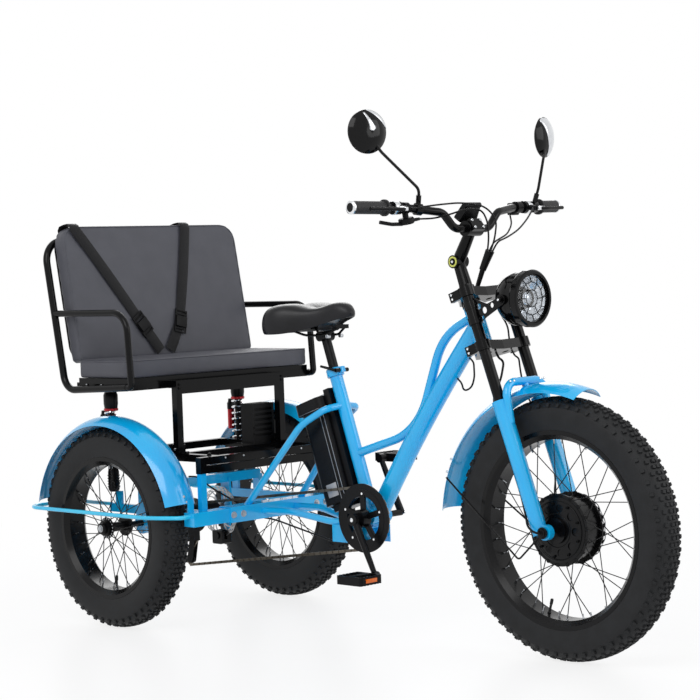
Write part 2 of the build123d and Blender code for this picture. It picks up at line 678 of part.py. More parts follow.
def bench_hoop():
    """One tube round the bench: along both sides, up behind the back and across its top."""
    behind = BACK_THICK + BOARD_THICK + 0.6 + HOOP_R
    low = (POST_HEAD - HOOP_R - BACK_LOW) / math.cos(math.radians(BACK_LEAN))
    high = 385.0
    points = [Vector(SEAT_FRONT, -SEAT_HALF, POST_HEAD - HOOP_R)]
    points += [lean(low, behind, -SEAT_HALF), lean(high, behind, -SEAT_HALF)]
    points += [lean(high, behind, SEAT_HALF), lean(low, behind, SEAT_HALF)]
    points += [Vector(SEAT_FRONT, SEAT_HALF, POST_HEAD - HOOP_R)]
    hoop = bent(points, [50.0, 70.0, 70.0, 50.0], HOOP_R)
    for side in (-1, 1):
        y = side * SEAT_HALF
        rise = ARM_Z - BACK_LOW + behind * math.sin(math.radians(BACK_LEAN))
        along = rise / math.cos(math.radians(BACK_LEAN))
        arm = [lean(along, behind, y), Vector(ARM_FRONT - 14, y, ARM_Z),
               Vector(ARM_FRONT, y, POST_HEAD - HOOP_R), Vector(SEAT_FRONT - 8, y, POST_HEAD - HOOP_R)]
        hoop = hoop + bent(arm, [ARM_BEND, 11.5], ARM_R)
        tab = y - side * 11.7
        hoop = hoop + box(SEAT_BACK + 60, SEAT_BACK + 84, min(y, tab), max(y, tab),
                          POST_HEAD - 18, POST_HEAD - 4)
    return hoop


def back_board():
    """The thin panel that carries the back cushion between the hoop's uprights."""
    height = (BACK_HIGH - BACK_LOW) / math.cos(math.radians(BACK_LEAN)) - 30
    panel = Pos(0, height / 2 + 8, 0) * RectangleRounded(2 * BACK_HALF - 12, height, BACK_ROUND - 6)
    return extrude(lean_plane(BACK_THICK + BOARD_THICK + 0.3) * panel, BOARD_THICK)


def back_cushion():
    """The leaning back cushion with rounded top corners."""
    height = (BACK_HIGH - BACK_LOW) / math.cos(math.radians(BACK_LEAN))
    face = Pos(0, height / 2) * RectangleRounded(2 * BACK_HALF, height, BACK_ROUND)
    pad = extrude(lean_plane(BACK_THICK) * face, BACK_THICK)
    front = pad.faces().sort_by(Axis.X)[-1]
    return fillet(front.edges(), 12.0)


def seat_cushion():
    """The bench cushion on its board."""
    low = POST_HEAD + BASE_THICK + 0.3
    pad = box(SEAT_BACK, SEAT_FRONT, -SEAT_HALF + 4, SEAT_HALF - 4, low, low + CUSHION_THICK + 9)
    return fillet(pad.faces().sort_by(Axis.Z)[-1].edges(), 14.0)


BELTS = (((-306.0, 404.0), (-100.0, 101.0), (-40.0, 14.0)),
         ((136.0, 404.0), (55.0, 103.0), (-2.0, 14.0)))


def belts():
    """Two webbing belts lying on the back cushion, each with its buckle."""
    plane = lean_plane(-0.4)
    webbing, buckles = [], []
    for top, middle, low in BELTS:
        upper = belt_run(plane, top, middle, BUCKLE[1] / 2 + 0.6, at_end=True)
        lower = belt_run(plane, middle, low, BUCKLE[1] / 2 + 7.0, at_end=False)
        webbing += [upper, lower]
        turn = math.degrees(math.atan2(middle[1] - top[1], middle[0] - top[0])) + 90
        block = Pos(middle[0], middle[1], BUCKLE[2] / 2) * Rot(0, 0, turn) * Box(*BUCKLE)
        block = fillet(block.edges().filter_by(Axis.Z), 6.0)
        buckles.append(plane * block)
    return webbing, buckles


def belt_run(plane, start, end, cut, at_end):
    """A flat strip between two points on the cushion, shortened beside the buckle."""
    dx, dy = end[0] - start[0], end[1] - start[1]
    length = math.hypot(dx, dy)
    centre = (length - cut) / 2 + (0 if at_end else cut)
    turn = math.degrees(math.atan2(dy, dx))
    strip = Pos(centre, 0, BELT_THICK / 2) * Box(length - cut, BELT_WIDTH, BELT_THICK)
    return plane * Pos(start[0], start[1], 0) * Rot(0, 0, turn) * strip


SHOCK_LOW = BEAM_Z + 52.3
SHOCK_HIGH = POST_HEAD - 30.0
COIL_R = 18.0
COIL_WIRE_R = 4.0
COIL_TURNS = 6.5


def shock(side):
    """A coil-over damper: lower body, collar, coil, shaft, head and a side reservoir."""
    y = side * SHOCK_Y
    collar_z = SHOCK_LOW + 84
    head_z = SHOCK_HIGH - 26
    body = rod((SHOCK_X, y, SHOCK_LOW), (SHOCK_X, y, collar_z), 17.0)
    shaft = rod((SHOCK_X, y, collar_z), (SHOCK_X, y, SHOCK_HIGH - 0.3), COIL_R - COIL_WIRE_R - 4.0)
    cap = rod((SHOCK_X, y, head_z), (SHOCK_X, y, SHOCK_HIGH - 0.3), COIL_R + COIL_WIRE_R)
    collar = rod((SHOCK_X, y, collar_z - 12), (SHOCK_X, y, collar_z), COIL_R + COIL_WIRE_R)
    tall = head_z - collar_z
    helix = Helix(pitch=tall / COIL_TURNS, height=tall, radius=COIL_R)
    section = Plane(origin=helix @ 0, z_dir=helix % 0) * RegularPolygon(COIL_WIRE_R, 6)
    coil = Pos(SHOCK_X, y, collar_z) * sweep(section, path=helix, is_frenet=True)
    can_x = SHOCK_X + 38.0
    can = rod((can_x, y, SHOCK_LOW + 20), (can_x, y, SHOCK_LOW + 78), 11.0)
    bridge = box(SHOCK_X, can_x, y - 7, y + 7, SHOCK_LOW + 26, SHOCK_LOW + 40)
    return fused(body, shaft, cap, collar, coil, can, bridge)


# ---- battery, controller, saddle -------------------------------------------------------------
BATTERY_WIDE = 90.0
BATTERY_DEEP = 98.0
BATTERY_LOW = 62.0
BATTERY_LONG = 275.0
CAP_LONG = 34.0
RAIL_DEEP = 22.0
RAIL_GAP = 0.5
SADDLE_Z = 884.0
SADDLE_SETBACK = 207.0   # saddle's middle behind the bottom bracket
SADDLE_X = BB_X - SADDLE_SETBACK
SADDLE_HIGH = 66.0       # from the base up to the crown of the pad
SADDLE_SKIRT = 27.0      # how far the rear skirt hangs below the base
SADDLE_WALL = 0.86       # the hollow underside's outline as a share of the saddle's
POST_TOP_DROP = 33.6     # the rails' clamp below the saddle's base
CLAMP_R = 15.0
SADDLE_RAIL_Y = 29.0
SADDLE_RAIL_R = 3.6


def seat_plane(along, behind):
    """A plane across the seat tube's line: x points back, z runs up the tube."""
    back = Vector(-SEAT_UP.Z, 0, SEAT_UP.X)
    return Plane(origin=seat_line(along, behind), x_dir=back, z_dir=SEAT_UP)


def battery_rail():
    """The channel on the back of the seat tube that the battery slides on."""
    start = SEAT_TUBE_R + RAIL_GAP
    rail = Pos(start + RAIL_DEEP / 2, 0, (BATTERY_LONG + 70) / 2) * Box(RAIL_DEEP, 52, BATTERY_LONG + 70)
    foot = Pos(start + 50, 0, 10) * Box(96, 60, 20)
    return seat_plane(BATTERY_LOW - 30, 0) * (rail + foot)


def battery():
    """The long battery case with its lipped cap."""
    start = SEAT_TUBE_R + RAIL_GAP + RAIL_DEEP + RUN_GAP
    centre = start + BATTERY_DEEP / 2
    case = Pos(centre, 0, BATTERY_LONG / 2) * Box(BATTERY_DEEP, BATTERY_WIDE, BATTERY_LONG)
    case = fillet(case.edges().filter_by(Axis.Z), 20.0)
    cap = Pos(centre + 8, 0, BATTERY_LONG + CAP_LONG / 2) * Box(BATTERY_DEEP + 16, BATTERY_WIDE + 8, CAP_LONG)
    cap = fillet(cap.edges().filter_by(Axis.Z), 22.0)
    return seat_plane(BATTERY_LOW - 9.5, 0) * (case + cap)


def post_top():
    """Where the seat post ends: the middle of the clamp that holds the saddle's rails."""
    return seat_line((SADDLE_Z - POST_TOP_DROP - SEAT_FOOT.Z) / SEAT_UP.Z)


def seat_post():
    """The straight post, its quick-release collar and the saddle clamp at its head."""
    top = post_top()
    post = rod(seat_line(200.0), top, POST_R - 0.05)
    head = y_disc(CLAMP_R, 2 * (SADDLE_RAIL_Y - SADDLE_RAIL_R - 0.2), top.X, 0, top.Z)
    yoke = box(top.X - 21, top.X + 21, -13, 13, top.Z - 3, top.Z + 9)
    low = SEAT_TUBE_LENGTH + 0.3
    collar = rod(seat_line(low), seat_line(low + 20), SEAT_TUBE_R + 4)
    lever = seat_line(low + 10, -SEAT_TUBE_R - 8)
    barrel = y_disc(6.0, 50.0, lever.X, 0, lever.Z)
    handle = rod((lever.X, -24.0, lever.Z), (lever.X - 46.0, -38.0, lever.Z + 12.0), 4.5, 3.5)
    return fused(post, head, yoke, collar, barrel, handle)


def saddle_outline(scale, z):
    """The saddle's outline seen from above, at a height and drawn in towards its middle."""
    right = [(-114, 0), (-136, -62), (-104, -132), (-38, -116), (44, -50), (106, -32), (138, 0)]
    right = [(x * scale, y * scale) for x, y in right]
    left = [(x, -y) for x, y in reversed(right)]
    outline = [Spline(*right, tangents=((0, -1), (0, 1))), Spline(*left, tangents=((0, 1), (0, -1)))]
    return Pos(0, 0, z) * make_face(outline)


def saddle():
    """A wide saddle: two rear lobes, a rounded nose, and a skirt that rises towards the nose."""
    levels = ((0.94, -SADDLE_SKIRT), (1.0, 0.25 * SADDLE_HIGH),
              (0.96, 0.68 * SADDLE_HIGH), (0.76, SADDLE_HIGH))
    pad = loft([saddle_outline(scale, z) for scale, z in levels])
    rise = Polygon((-30.0, -SADDLE_SKIRT - 1), (150.0, -SADDLE_SKIRT - 1), (150.0, 19.0), (100.0, 8.0),
                   align=None)
    pad = pad - extrude(Plane.XZ * rise, 200.0, both=True)
    hollow = loft([saddle_outline(SADDLE_WALL, z) for z in (-SADDLE_SKIRT - 1, 0.0)])
    return Pos(SADDLE_X, 0, SADDLE_Z) * (pad - hollow)


def saddle_frame():
    """Two bent rails from the nose to the rear of the base, and the buffers behind them."""
    head = post_top()
    whole = box(SADDLE_X + 78, SADDLE_X + 100, -16, 16, SADDLE_Z - 12, SADDLE_Z - 0.3)
    whole = whole + box(SADDLE_X - 92, SADDLE_X - 76, -66.0, 66.0, SADDLE_Z - 12, SADDLE_Z - 4)
    for side in (-1, 1):
        y = side * SADDLE_RAIL_Y
        rail = bent([(SADDLE_X + 90, side * 11.0, SADDLE_Z - 8), (SADDLE_X + 44, y, head.Z + 3),
                     (SADDLE_X - 34, y, head.Z + 3), (SADDLE_X - 84, side * 58.0, SADDLE_Z - 8)],
                    [40.0, 40.0], SADDLE_RAIL_R)
        buffer = rod((SADDLE_X - 84, side * 58.0, SADDLE_Z - 16),
                     (SADDLE_X - 84, side * 58.0, SADDLE_Z - 0.3), 11.0)
        whole = fused(whole, rail, buffer)
    return whole


def controller():
    """The finned controller case on the platform."""
    case = box(62, 116, 118, 206, PLATFORM_TOP + 0.3, PLATFORM_TOP + 122)
    for index in range(6):
        z = PLATFORM_TOP + 20 + index * 16
        case = case - box(108, 117, 126, 198, z, z + 8)
    return case


# ---- crankset, chain, derailleur -------------------------------------------------------------
CRANK_ANGLE = -64.2      # right crank, measured up from the front
CRANK_Y = 96.0
PEDAL_Y = 158.0
PEDAL_LONG = 96.0
PEDAL_THICK = 24.0
REFLECTOR_SEAT = 3.0     # how deep the reflectors sit in the rails
RING_THICK = 2.4
GUARD_RING_R = 98.0
GUIDE = (16.0, 238.0, 17.0)
TENSION = (0.0, 165.0, 17.0)


def belt_face(offset):
    """The face inside the chain's path, moved out by an offset."""
    ring_r = RING_R + offset
    circles = [(BB_X, BB_Z, ring_r, 1), (0.0, REAR_TYRE_R, ENGAGED_R + offset, 1),
               (GUIDE[0], GUIDE[1], GUIDE[2] - offset, -1), (TENSION[0], TENSION[1], TENSION[2] + offset, 1)]
    leaves, meets = [], []
    for index, first in enumerate(circles):
        second = circles[(index + 1) % len(circles)]
        dx, dz = second[0] - first[0], second[1] - first[1]
        way = math.atan2(dz, dx) - math.asin(
            (second[3] * second[2] - first[3] * first[2]) / math.hypot(dx, dz))
        normal = (-math.sin(way), math.cos(way))
        leaves.append(on_circle(first, normal))
        meets.append(on_circle(second, normal))
    edges = []
    for index, circle in enumerate(circles):
        came = meets[index - 1]
        went = leaves[index]
        edges.append(ThreePointArc(came, arc_middle(circle, came, went), went))
        edges.append(Line(went, meets[index]))
    return make_face(edges)


def on_circle(circle, normal):
    """Where a straight run with this left-hand normal touches a wheel of the chain."""
    x, z, radius, turn = circle
    return (x - turn * radius * normal[0], z - turn * radius * normal[1])


def arc_middle(circle, came, went):
    """The middle of the chain's wrap round one wheel."""
    x, z, radius, turn = circle
    start = math.atan2(came[1] - z, came[0] - x)
    end = math.atan2(went[1] - z, went[0] - x)
    sweep_angle = (end - start) % math.tau if turn > 0 else -((start - end) % math.tau)
    middle = start + sweep_angle / 2
    return (x + radius * math.cos(middle), z + radius * math.sin(middle))


def chain():
    """The drive chain as one closed loop: a core with a pair of outer plates on every other link."""
    core = Plane(origin=(0, RING_Y + CHAIN_CORE / 2, 0), x_dir=(1, 0, 0), z_dir=(0, -1, 0))
    half = CHAIN_HEIGHT / 2 - 0.6
    whole = extrude(core * belt_face(half), CHAIN_CORE) - extrude(core * belt_face(-half), CHAIN_CORE)
    path = belt_face(0.0).faces()[0].outer_wire()
    links = round(path.length / CHAIN_PITCH / 2)
    plates = []
    for index in range(links):
        place = path @ (index / links)
        way = path % (index / links)
        turn = math.degrees(math.atan2(way.Y, way.X))
        plate = Box(CHAIN_PITCH + 4.0, CHAIN_WIDTH, CHAIN_HEIGHT - 0.4)
        plates.append(Pos(place.X, RING_Y, place.Y) * Rot(0, -turn, 0) * plate)
    return whole.fuse(*plates)


def derailleur():
    """The hanger, body, cage and two pulleys that keep the chain tight."""
    y = RING_Y
    pulleys = None
    for x, z, radius in (GUIDE, TENSION):
        disc = y_disc(radius - CHAIN_HEIGHT / 2 - RUN_GAP, 4.0, x, y, z)
        pulleys = disc if pulleys is None else pulleys + disc
    cage = None
    dx, dz = GUIDE[0] - TENSION[0], GUIDE[1] - TENSION[1]
    slot = Rot(0, 0, math.degrees(math.atan2(dz, dx))) * SlotCenterToCenter(math.hypot(dx, dz), 22.0)
    middle = Plane(origin=(GUIDE[0] - dx / 2, y, GUIDE[1] - dz / 2), x_dir=(1, 0, 0), z_dir=(0, -1, 0))
    for out in (-7.5, 7.5):
        plate = extrude(middle.offset(-out) * slot, 1.25, both=True)
        cage = plate if cage is None else cage + plate
    for x, z, radius in (GUIDE, TENSION):
        cage = cage + y_disc(3.0, 17.0, x, y, z)
    body = box(24, 52, y - 34, y - 8.5, GUIDE[1] - 10, GUIDE[1] + 26)
    arm = box(GUIDE[0] - 8, 30, y - 20, y - 8.5, GUIDE[1] - 12, GUIDE[1] + 8)
    link = box(38, 52, y - 56, y - 26, GUIDE[1] + 6, HANGER_Z - 60)
    post = box(20.3, 52, y - 52, y - 40, HANGER_Z - 70, HANGER_Z - 14)
    return fused(cage, pulleys, body, arm, link, post)


def crankset():
    """Spindle, chainring with spider and guard, and both arms."""
    angle = math.radians(CRANK_ANGLE)
    x1, z1 = BB_X + CRANK_LENGTH * math.cos(angle), BB_Z + CRANK_LENGTH * math.sin(angle)
    x2, z2 = 2 * BB_X - x1, 2 * BB_Z - z1
    whole = y_disc(AXLE_BB_R, 2 * CRANK_Y, BB_X, 0, BB_Z)
    teeth_r = RING_R - CHAIN_HEIGHT / 2 - 2 * RUN_GAP
    ring = y_disc(teeth_r, RING_THICK, BB_X, RING_Y, BB_Z) - y_disc(62.0, 20.0, BB_X, RING_Y, BB_Z)
    guard_y = RING_Y - CHAIN_WIDTH / 2 - 4.0
    guard = y_disc(GUARD_RING_R, 3.0, BB_X, guard_y, BB_Z) - y_disc(78.0, 20.0, BB_X, guard_y, BB_Z)
    carrier = y_disc(80.5, 12.0, BB_X, (RING_Y + guard_y) / 2, BB_Z) - y_disc(62.0, 30.0, BB_X, RING_Y, BB_Z)
    whole = fused(whole, ring, guard, carrier)
    for index in range(5):
        arm = Pos(0, 0, 36) * Box(17.0, 7.0, 60.0)
        whole = whole + Pos(BB_X, guard_y, BB_Z) * Rot(0, 72.0 * index, 0) * arm
    whole = whole + y_disc(26.0, 30.0, BB_X, guard_y - 10.0, BB_Z)
    for side, x, z in ((-1, x1, z1), (1, x2, z2)):
        y = side * CRANK_Y
        whole = whole + rod((BB_X, y, BB_Z), (x, y, z), 11.0, 7.5)
        whole = whole + y_disc(17.0, 22.0, BB_X, y, BB_Z) + y_disc(13.0, 16.0, x, y, z)
    return whole, (x1, z1), (x2, z2)


def pedal(side, x, z):
    """A platform pedal turning on its spindle: two toothed rails, end plates and reflector seats."""
    y0 = side * (CRANK_Y + 8.3)
    y1 = side * (PEDAL_Y + 46.0)
    barrel = y_disc(9.0, abs(y1 - y0), x, (y0 + y1) / 2, z)
    inner, outer = side * (PEDAL_Y - 40), y1
    mid = (inner + outer) / 2
    wide = abs(outer - inner)
    frame = Pos(x, mid, z) * Box(PEDAL_LONG, wide, PEDAL_THICK)
    frame = fillet(frame.edges().filter_by(Axis.Z), 8.0)
    for way in (-1, 1):
        frame = frame - Pos(x + way * 26, mid, z) * Box(30, wide - 16, 40)
        frame = frame - Pos(x + way * PEDAL_LONG / 2, mid, z) * Box(2 * REFLECTOR_SEAT, 46, 13)
        for index in range(6):
            place = Pos(x, mid + (index - 2.5) * wide / 6.5, z + way * PEDAL_THICK / 2)
            tooth = place * Box(PEDAL_LONG + 2, 5, 5)
            frame = frame - tooth
    return barrel + frame


REAR_CABLE_R = 2.5
REAR_CABLE = ((612.0, -30.0, 257.0), (352.0, -27.0, 307.0),
              (284.0, -26.0, 310.0), (194.0, -24.0, 345.0), (84.0, -36.0, 388.0),
              (38.0, -48.0, HANGER_Z + 17.4), (4.0, -55.0, HANGER_Z + 16.8))
LOOP_PORTS = (0.87, 0.76)  # where the loop leaves and enters the down tube, as shares of its length
LOOP_REACH = ((24.0, -10.0, -52.0), (14.0, -12.0, -80.0), (-14.0, -12.0, -90.0))


def rear_cable():
    """The taut cable under the frame and the cross beam to the rear axle."""
    return cable(REAR_CABLE, REAR_CABLE_R)


def head_cable():
    """The short loop below the head tube, from one port in the down tube to the next."""
    path = down_tube_path()
    ends = []
    for share in LOOP_PORTS:
        way = path % share
        under = Vector(way.Z, 0, -way.X)
        ends.append([path @ share + under * (DOWN_TUBE_R + RUN_GAP + out) for out in (0.0, 18.0)])
    hang = [ends[0][0] + Vector(*reach) for reach in LOOP_REACH]
    loop = ends[0] + hang + ends[1][::-1]
    return cable(loop, REAR_CABLE_R)


# ---- steering --------------------------------------------------------------------------------
STEM_REACH = 51.0        # bar clamp ahead of the stem's pivot
STEM_RISE = 87.8         # and above it
LAMP_X = WHEELBASE - 86.0
LAMP_Z = FRONT_TYRE_R + 602.0
LAMP_DEEP = 104.0
LAMP_BORE_R = 65.0
LENS_THICK = 4.0
LENS_BACK = 14.0         # back of the glass behind the bezel's front
GRILLE_THICK = 4.0
GRILLE_BAR = 3.2
GRILLE_RING_R = 26.0
LAMP_ARM_Y = 78.0
LAMP_PIVOT_BACK = 48.0   # side pivots behind the bezel's front
BAR_RISE = 60.0          # grips above the bar's middle
MIRROR_THICK = 24.0
DISPLAY_THICK = 22.0
BAR_CLAMP_R = 21.0
GRIP_START = {-1: 0.40, 1: 0.56}
LEVER_SEAT = {-1: 0.22, 1: 0.28}
MIRROR_SEAT = {-1: -0.28, 1: 0.46}
ARCH_BAR_R = 11.0
DROPOUT_R = 20.0
STAY_WIRE_R = 2.5
AXLE_NUT_Y = STANCHION_SPREAD / 2 + 18.0
AXLE_NUT_THICK = 9.0


def steer_plane(s):
    """A plane across the steering axis: x points forward, y to the left."""
    return Plane(origin=steer(s), x_dir=AXIS_FORWARD, z_dir=AXIS_UP)


STEM_PIVOT = steer(STEM_PIVOT_S)
STEM_CLAMP = (STEM_PIVOT.X + STEM_REACH, STEM_PIVOT.Z + STEM_RISE)
BAR_POINTS = ((STEM_CLAMP[0], 70.0, STEM_CLAMP[1]),
              (STEM_CLAMP[0] - 3.0, 112.0, STEM_CLAMP[1] + BAR_RISE - 16.0),
              (STEM_CLAMP[0] - 31.0, 215.0, STEM_CLAMP[1] + BAR_RISE - 3.0),
              (STEM_CLAMP[0] - 45.0, BAR_HALF, STEM_CLAMP[1] + BAR_RISE))
MIRROR = (STEM_CLAMP[0] - 38.0, BAR_HALF - 62.0, STEM_CLAMP[1] + BAR_RISE + 194.0)


def crown(s, reach):
    """One triple clamp plate centred at a height up the axis, with a split ear behind each clamp."""
    half = STANCHION_SPREAD / 2
    ahead = STANCHION_AHEAD
    web = Polygon((-reach, -22), (ahead - 16, -half - 12), (ahead + 12, -half), (ahead + 2, 0),
                  (ahead + 12, half), (ahead - 16, half + 12), (-reach, 22), align=None)
    plate = web
    for side in (-1, 1):
        plate = plate + Pos(ahead, side * half) * Circle(STANCHION_R + 6)
        plate = plate + Pos(ahead - 32, side * (half + 9)) * Rectangle(36, 13)
        plate = plate - Pos(ahead - 26, side * 34) * Circle(9)
    return extrude(steer_plane(s - CROWN_THICK / 2) * plate, CROWN_THICK)


def fork_upper():
    """Steerer, both triple clamps and the stanchions."""
    whole = crown(LOWER_CROWN_S, 24) + crown(UPPER_CROWN_S, 24)
    whole = whole + rod(steer(LOWER_CROWN_S), steer(UPPER_CROWN_S), STEERER_R)
    for side in (-1, 1):
        y = side * STANCHION_SPREAD / 2
        low = steer(LEG_TOP_S - 60, STANCHION_AHEAD, y)
        high = steer(UPPER_CROWN_S + CROWN_THICK / 2 + 6, STANCHION_AHEAD, y)
        whole = whole + rod(low, high, STANCHION_R)
    for s in (HEAD_LOW_S - 8.7, HEAD_HIGH_S + 0.3):
        whole = whole + rod(steer(s), steer(s + 8.4), HEAD_TUBE_R + 1.5)
    return whole


def fork_lower():
    """The two lower legs, the arch that joins them over the fender, and the dropouts."""
    hub = FRONT_HUB
    ahead = STANCHION_AHEAD
    half = STANCHION_SPREAD / 2
    arch_s, arch_f = 405.0, 96.0
    points = [steer(300, ahead + 14, -half), steer(arch_s, arch_f, -half), steer(arch_s, arch_f, half),
              steer(300, ahead + 14, half)]
    whole = bent(points, [38.0, 38.0], ARCH_BAR_R)
    for side in (-1, 1):
        y = side * half
        leg = rod(steer(0, ahead, y), steer(LEG_TOP_S, ahead, y), LEG_R - 1, LEG_R)
        socket = rod(steer(LEG_TOP_S - 75, ahead, y), steer(LEG_TOP_S + 5, ahead, y), STANCHION_R + RUN_GAP)
        drop = y_disc(DROPOUT_R, 18.0, hub.X, side * (half + 4), hub.Z)
        whole = fused(whole, leg, drop) - socket
    fender = Vector(WHEELBASE + FRONT_FENDER_X, 0, FRONT_TYRE_R)
    top = steer(arch_s, arch_f)
    toward = (fender - top).normalized()
    seat = top + toward * ((fender - top).length - FRONT_FENDER_R - 0.2)
    whole = whole + rod(top, seat, 9.0)
    for side in (-1, 1):
        whole = whole - y_disc(15.0, 30.0, hub.X, side * (half + 13.2 + 15.0), hub.Z)
    return whole - y_disc(AXLE_R + 0.05, 300.0, hub.X, 0, hub.Z)


def front_axle():
    """The axle and its nuts."""
    axle = y_disc(AXLE_R, 2 * FRONT_AXLE_HALF, FRONT_HUB.X, 0, FRONT_HUB.Z)
    for side in (-1, 1):
        y = side * AXLE_NUT_Y
        axle = axle + y_disc(12.0, AXLE_NUT_THICK, FRONT_HUB.X, y, FRONT_HUB.Z)
    return axle


def fender_stay(side):
    """The wire from the front fender's tail to the dropout."""
    y = side * (STANCHION_SPREAD / 2 + 10)
    tail = math.radians(160.0)
    edge = FRONT_FENDER_R - FENDER_DROP
    start = Vector(WHEELBASE + FRONT_FENDER_X + edge * math.cos(tail),
                   side * (FENDER_HALF + STAY_WIRE_R + 0.2),
                   FRONT_TYRE_R + edge * math.sin(tail))
    foot = FRONT_HUB + Vector(-0.844, 0, -0.536) * (DROPOUT_R + 0.3) + Vector(0, y, 0)
    return bent([start, FRONT_HUB + Vector(-90, y, -77), foot], [12.0], STAY_WIRE_R)


def stanchion_front(z):
    """Where the front of a stanchion lies along X, at a height."""
    s = (z - AXIS_FOOT.Z - STANCHION_AHEAD * SIN_RAKE) / COS_RAKE
    return steer(s, STANCHION_AHEAD).X + STANCHION_R / COS_RAKE + 0.2


def lamp_case():
    """The lamp's bowl with its bezel and a dished seat for the reflector and the glass."""
    deep, edge = LAMP_DEEP, LAMP_R
    glass = deep - LENS_BACK
    profile = [
        Line((0, 0), (0, 24)),
        ThreePointArc((0, 24), (deep * 0.22, 60), (deep * 0.62, edge - 3)),
        Line((deep * 0.62, edge - 3), (deep - 24, edge - 2)),
        Line((deep - 24, edge - 2), (deep - 20, edge)),
        Line((deep - 20, edge), (deep - 4, edge)),
        Line((deep - 4, edge), (deep, edge - 4)),
        Line((deep, edge - 4), (deep, LAMP_BORE_R)),
        Line((deep, LAMP_BORE_R), (glass, LAMP_BORE_R)),
        Line((glass, LAMP_BORE_R), (glass, LAMP_BORE_R - 3)),
        ThreePointArc((glass, LAMP_BORE_R - 3), (glass - 24, 40), (glass - 34, 12)),
        Line((glass - 34, 12), (glass - 34, 0)),
        Line((glass - 34, 0), (0, 0)),
    ]
    return Pos(LAMP_X - deep, 0, LAMP_Z) * revolve(make_face(profile), axis=Axis.X, revolution_arc=360)


def lamp_arm(side):
    """A side plate from a stanchion's clamp to the lamp's pivot, lightened by round holes."""
    pivot = (LAMP_X - LAMP_PIVOT_BACK, LAMP_Z)
    high, low = LAMP_Z + 6, LAMP_Z - 59
    root = stanchion_front(LAMP_Z)
    plate = Polygon((stanchion_front(high), high), (stanchion_front(low), low), (root + 40, LAMP_Z - 46),
                    (pivot[0] + 8, pivot[1] - 12), (pivot[0] + 8, pivot[1] + 12), (root + 46, LAMP_Z - 10),
                    align=None)
    plate = plate + Pos(*pivot) * Circle(14)
    for out, drop, radius in ((17, 17, 8.0), (36, 27, 9.0), (62, 14, 7.0), (30, 46, 5.5)):
        plate = plate - Pos(root + out, LAMP_Z - drop) * Circle(radius)
    face = Plane(origin=(0, side * LAMP_ARM_Y + 2.5, 0), x_dir=(1, 0, 0), z_dir=(0, -1, 0)) * plate
    boss = y_disc(8.0, 17.0, pivot[0], side * (LAMP_ARM_Y - 6.0), pivot[1])
    return extrude(face, 5.0) + boss + y_disc(10.0, 4.0, pivot[0], side * (LAMP_ARM_Y + 4.0), pivot[1])


def lamp():
    """The round headlamp's case with the two clamped arms that hold it."""
    whole = lamp_case()
    for side in (-1, 1):
        whole = whole + lamp_arm(side)
        band = STANCHION_SPREAD / 2 * side
        for s in (580, 622):
            low, high = steer(s, STANCHION_AHEAD, band), steer(s + 20, STANCHION_AHEAD, band)
            whole = whole + rod(low, high, STANCHION_R + 4)
        low, high = steer(596, STANCHION_AHEAD, band), steer(626, STANCHION_AHEAD, band)
        whole = whole + rod(low, high, STANCHION_R + 2)
    for side in (-1, 1):
        band = STANCHION_SPREAD / 2 * side
        low, high = steer(560, STANCHION_AHEAD, band), steer(660, STANCHION_AHEAD, band)
        whole = whole - rod(low, high, STANCHION_R + 0.1)
    return whole


def lamp_plane(back):
    """A plane across the lamp a little behind its front: x is the rider's left, y points up."""
    return Plane(origin=(LAMP_X - back, 0, LAMP_Z), x_dir=(0, 1, 0), z_dir=(1, 0, 0))


def lamp_lens():
    """The lamp's round glass on its seat in the bezel."""
    seat = LENS_BACK - RUN_GAP
    return extrude(lamp_plane(seat) * Circle(LAMP_BORE_R - RUN_GAP), LENS_THICK)


def lamp_grille():
    """The guard over the glass: two rings, four crossed bars and the spokes between them."""
    outer = LAMP_BORE_R - RUN_GAP
    ring = Circle(outer) - Circle(outer - GRILLE_BAR)
    hub = Circle(GRILLE_RING_R + GRILLE_BAR) - Circle(GRILLE_RING_R)
    lattice = ring + hub
    reach = math.sqrt(outer ** 2 - GRILLE_RING_R ** 2) - GRILLE_BAR / 2
    for index in range(4):
        chord = Pos(0, GRILLE_RING_R + GRILLE_BAR / 2) * Rectangle(2 * reach, GRILLE_BAR)
        lattice = lattice + Rot(0, 0, 45 + 90 * index) * chord
        span = outer - GRILLE_RING_R
        spoke = Pos(GRILLE_RING_R + span / 2, 0) * Rectangle(span - GRILLE_BAR, GRILLE_BAR)
        lattice = lattice + Rot(0, 0, 90 * index) * spoke
    return extrude(lamp_plane(LENS_BACK - LENS_THICK - 2 * RUN_GAP) * lattice, GRILLE_THICK)


def stem():
    """The adjustable stem: riser, pivot barrel, arm, bar clamp with its face plate, and collar."""
    pivot = STEM_PIVOT
    clamp = Vector(STEM_CLAMP[0], 0, STEM_CLAMP[1])
    foot = UPPER_CROWN_S + CROWN_THICK / 2
    riser = rod(steer(foot), pivot, 19.0, 16.0)
    collar = rod(steer(foot), steer(foot + 22), 22.0)
    ear = steer_plane(foot + 3) * Pos(-27, 0, 8) * Box(20, 16, 16)
    arm = rod(pivot, clamp, 18.0, 15.0)
    barrel = y_disc(18.0, 46.0, pivot.X, 0, pivot.Z)
    holder = y_disc(BAR_CLAMP_R, 58.0, clamp.X, 0, clamp.Z)
    plate = Pos(clamp.X, 0, clamp.Z) * Rot(0, -30, 0) * Pos(18, 0, 0) * Box(12, 46, 34)
    whole = fused(riser, collar, ear, arm, barrel, holder, plate)
    return whole - y_disc(BAR_R + 0.1, 80.0, clamp.X, 0, clamp.Z)


def bar_run(radius):
    """A round bar along the risen cruiser bar's line."""
    left = [Vector(*point) for point in BAR_POINTS]
    right = [Vector(point.X, -point.Y, point.Z) for point in reversed(left)]
    return bent(right + left, [150.0, 40.0, 40.0, 40.0, 40.0, 150.0], radius)


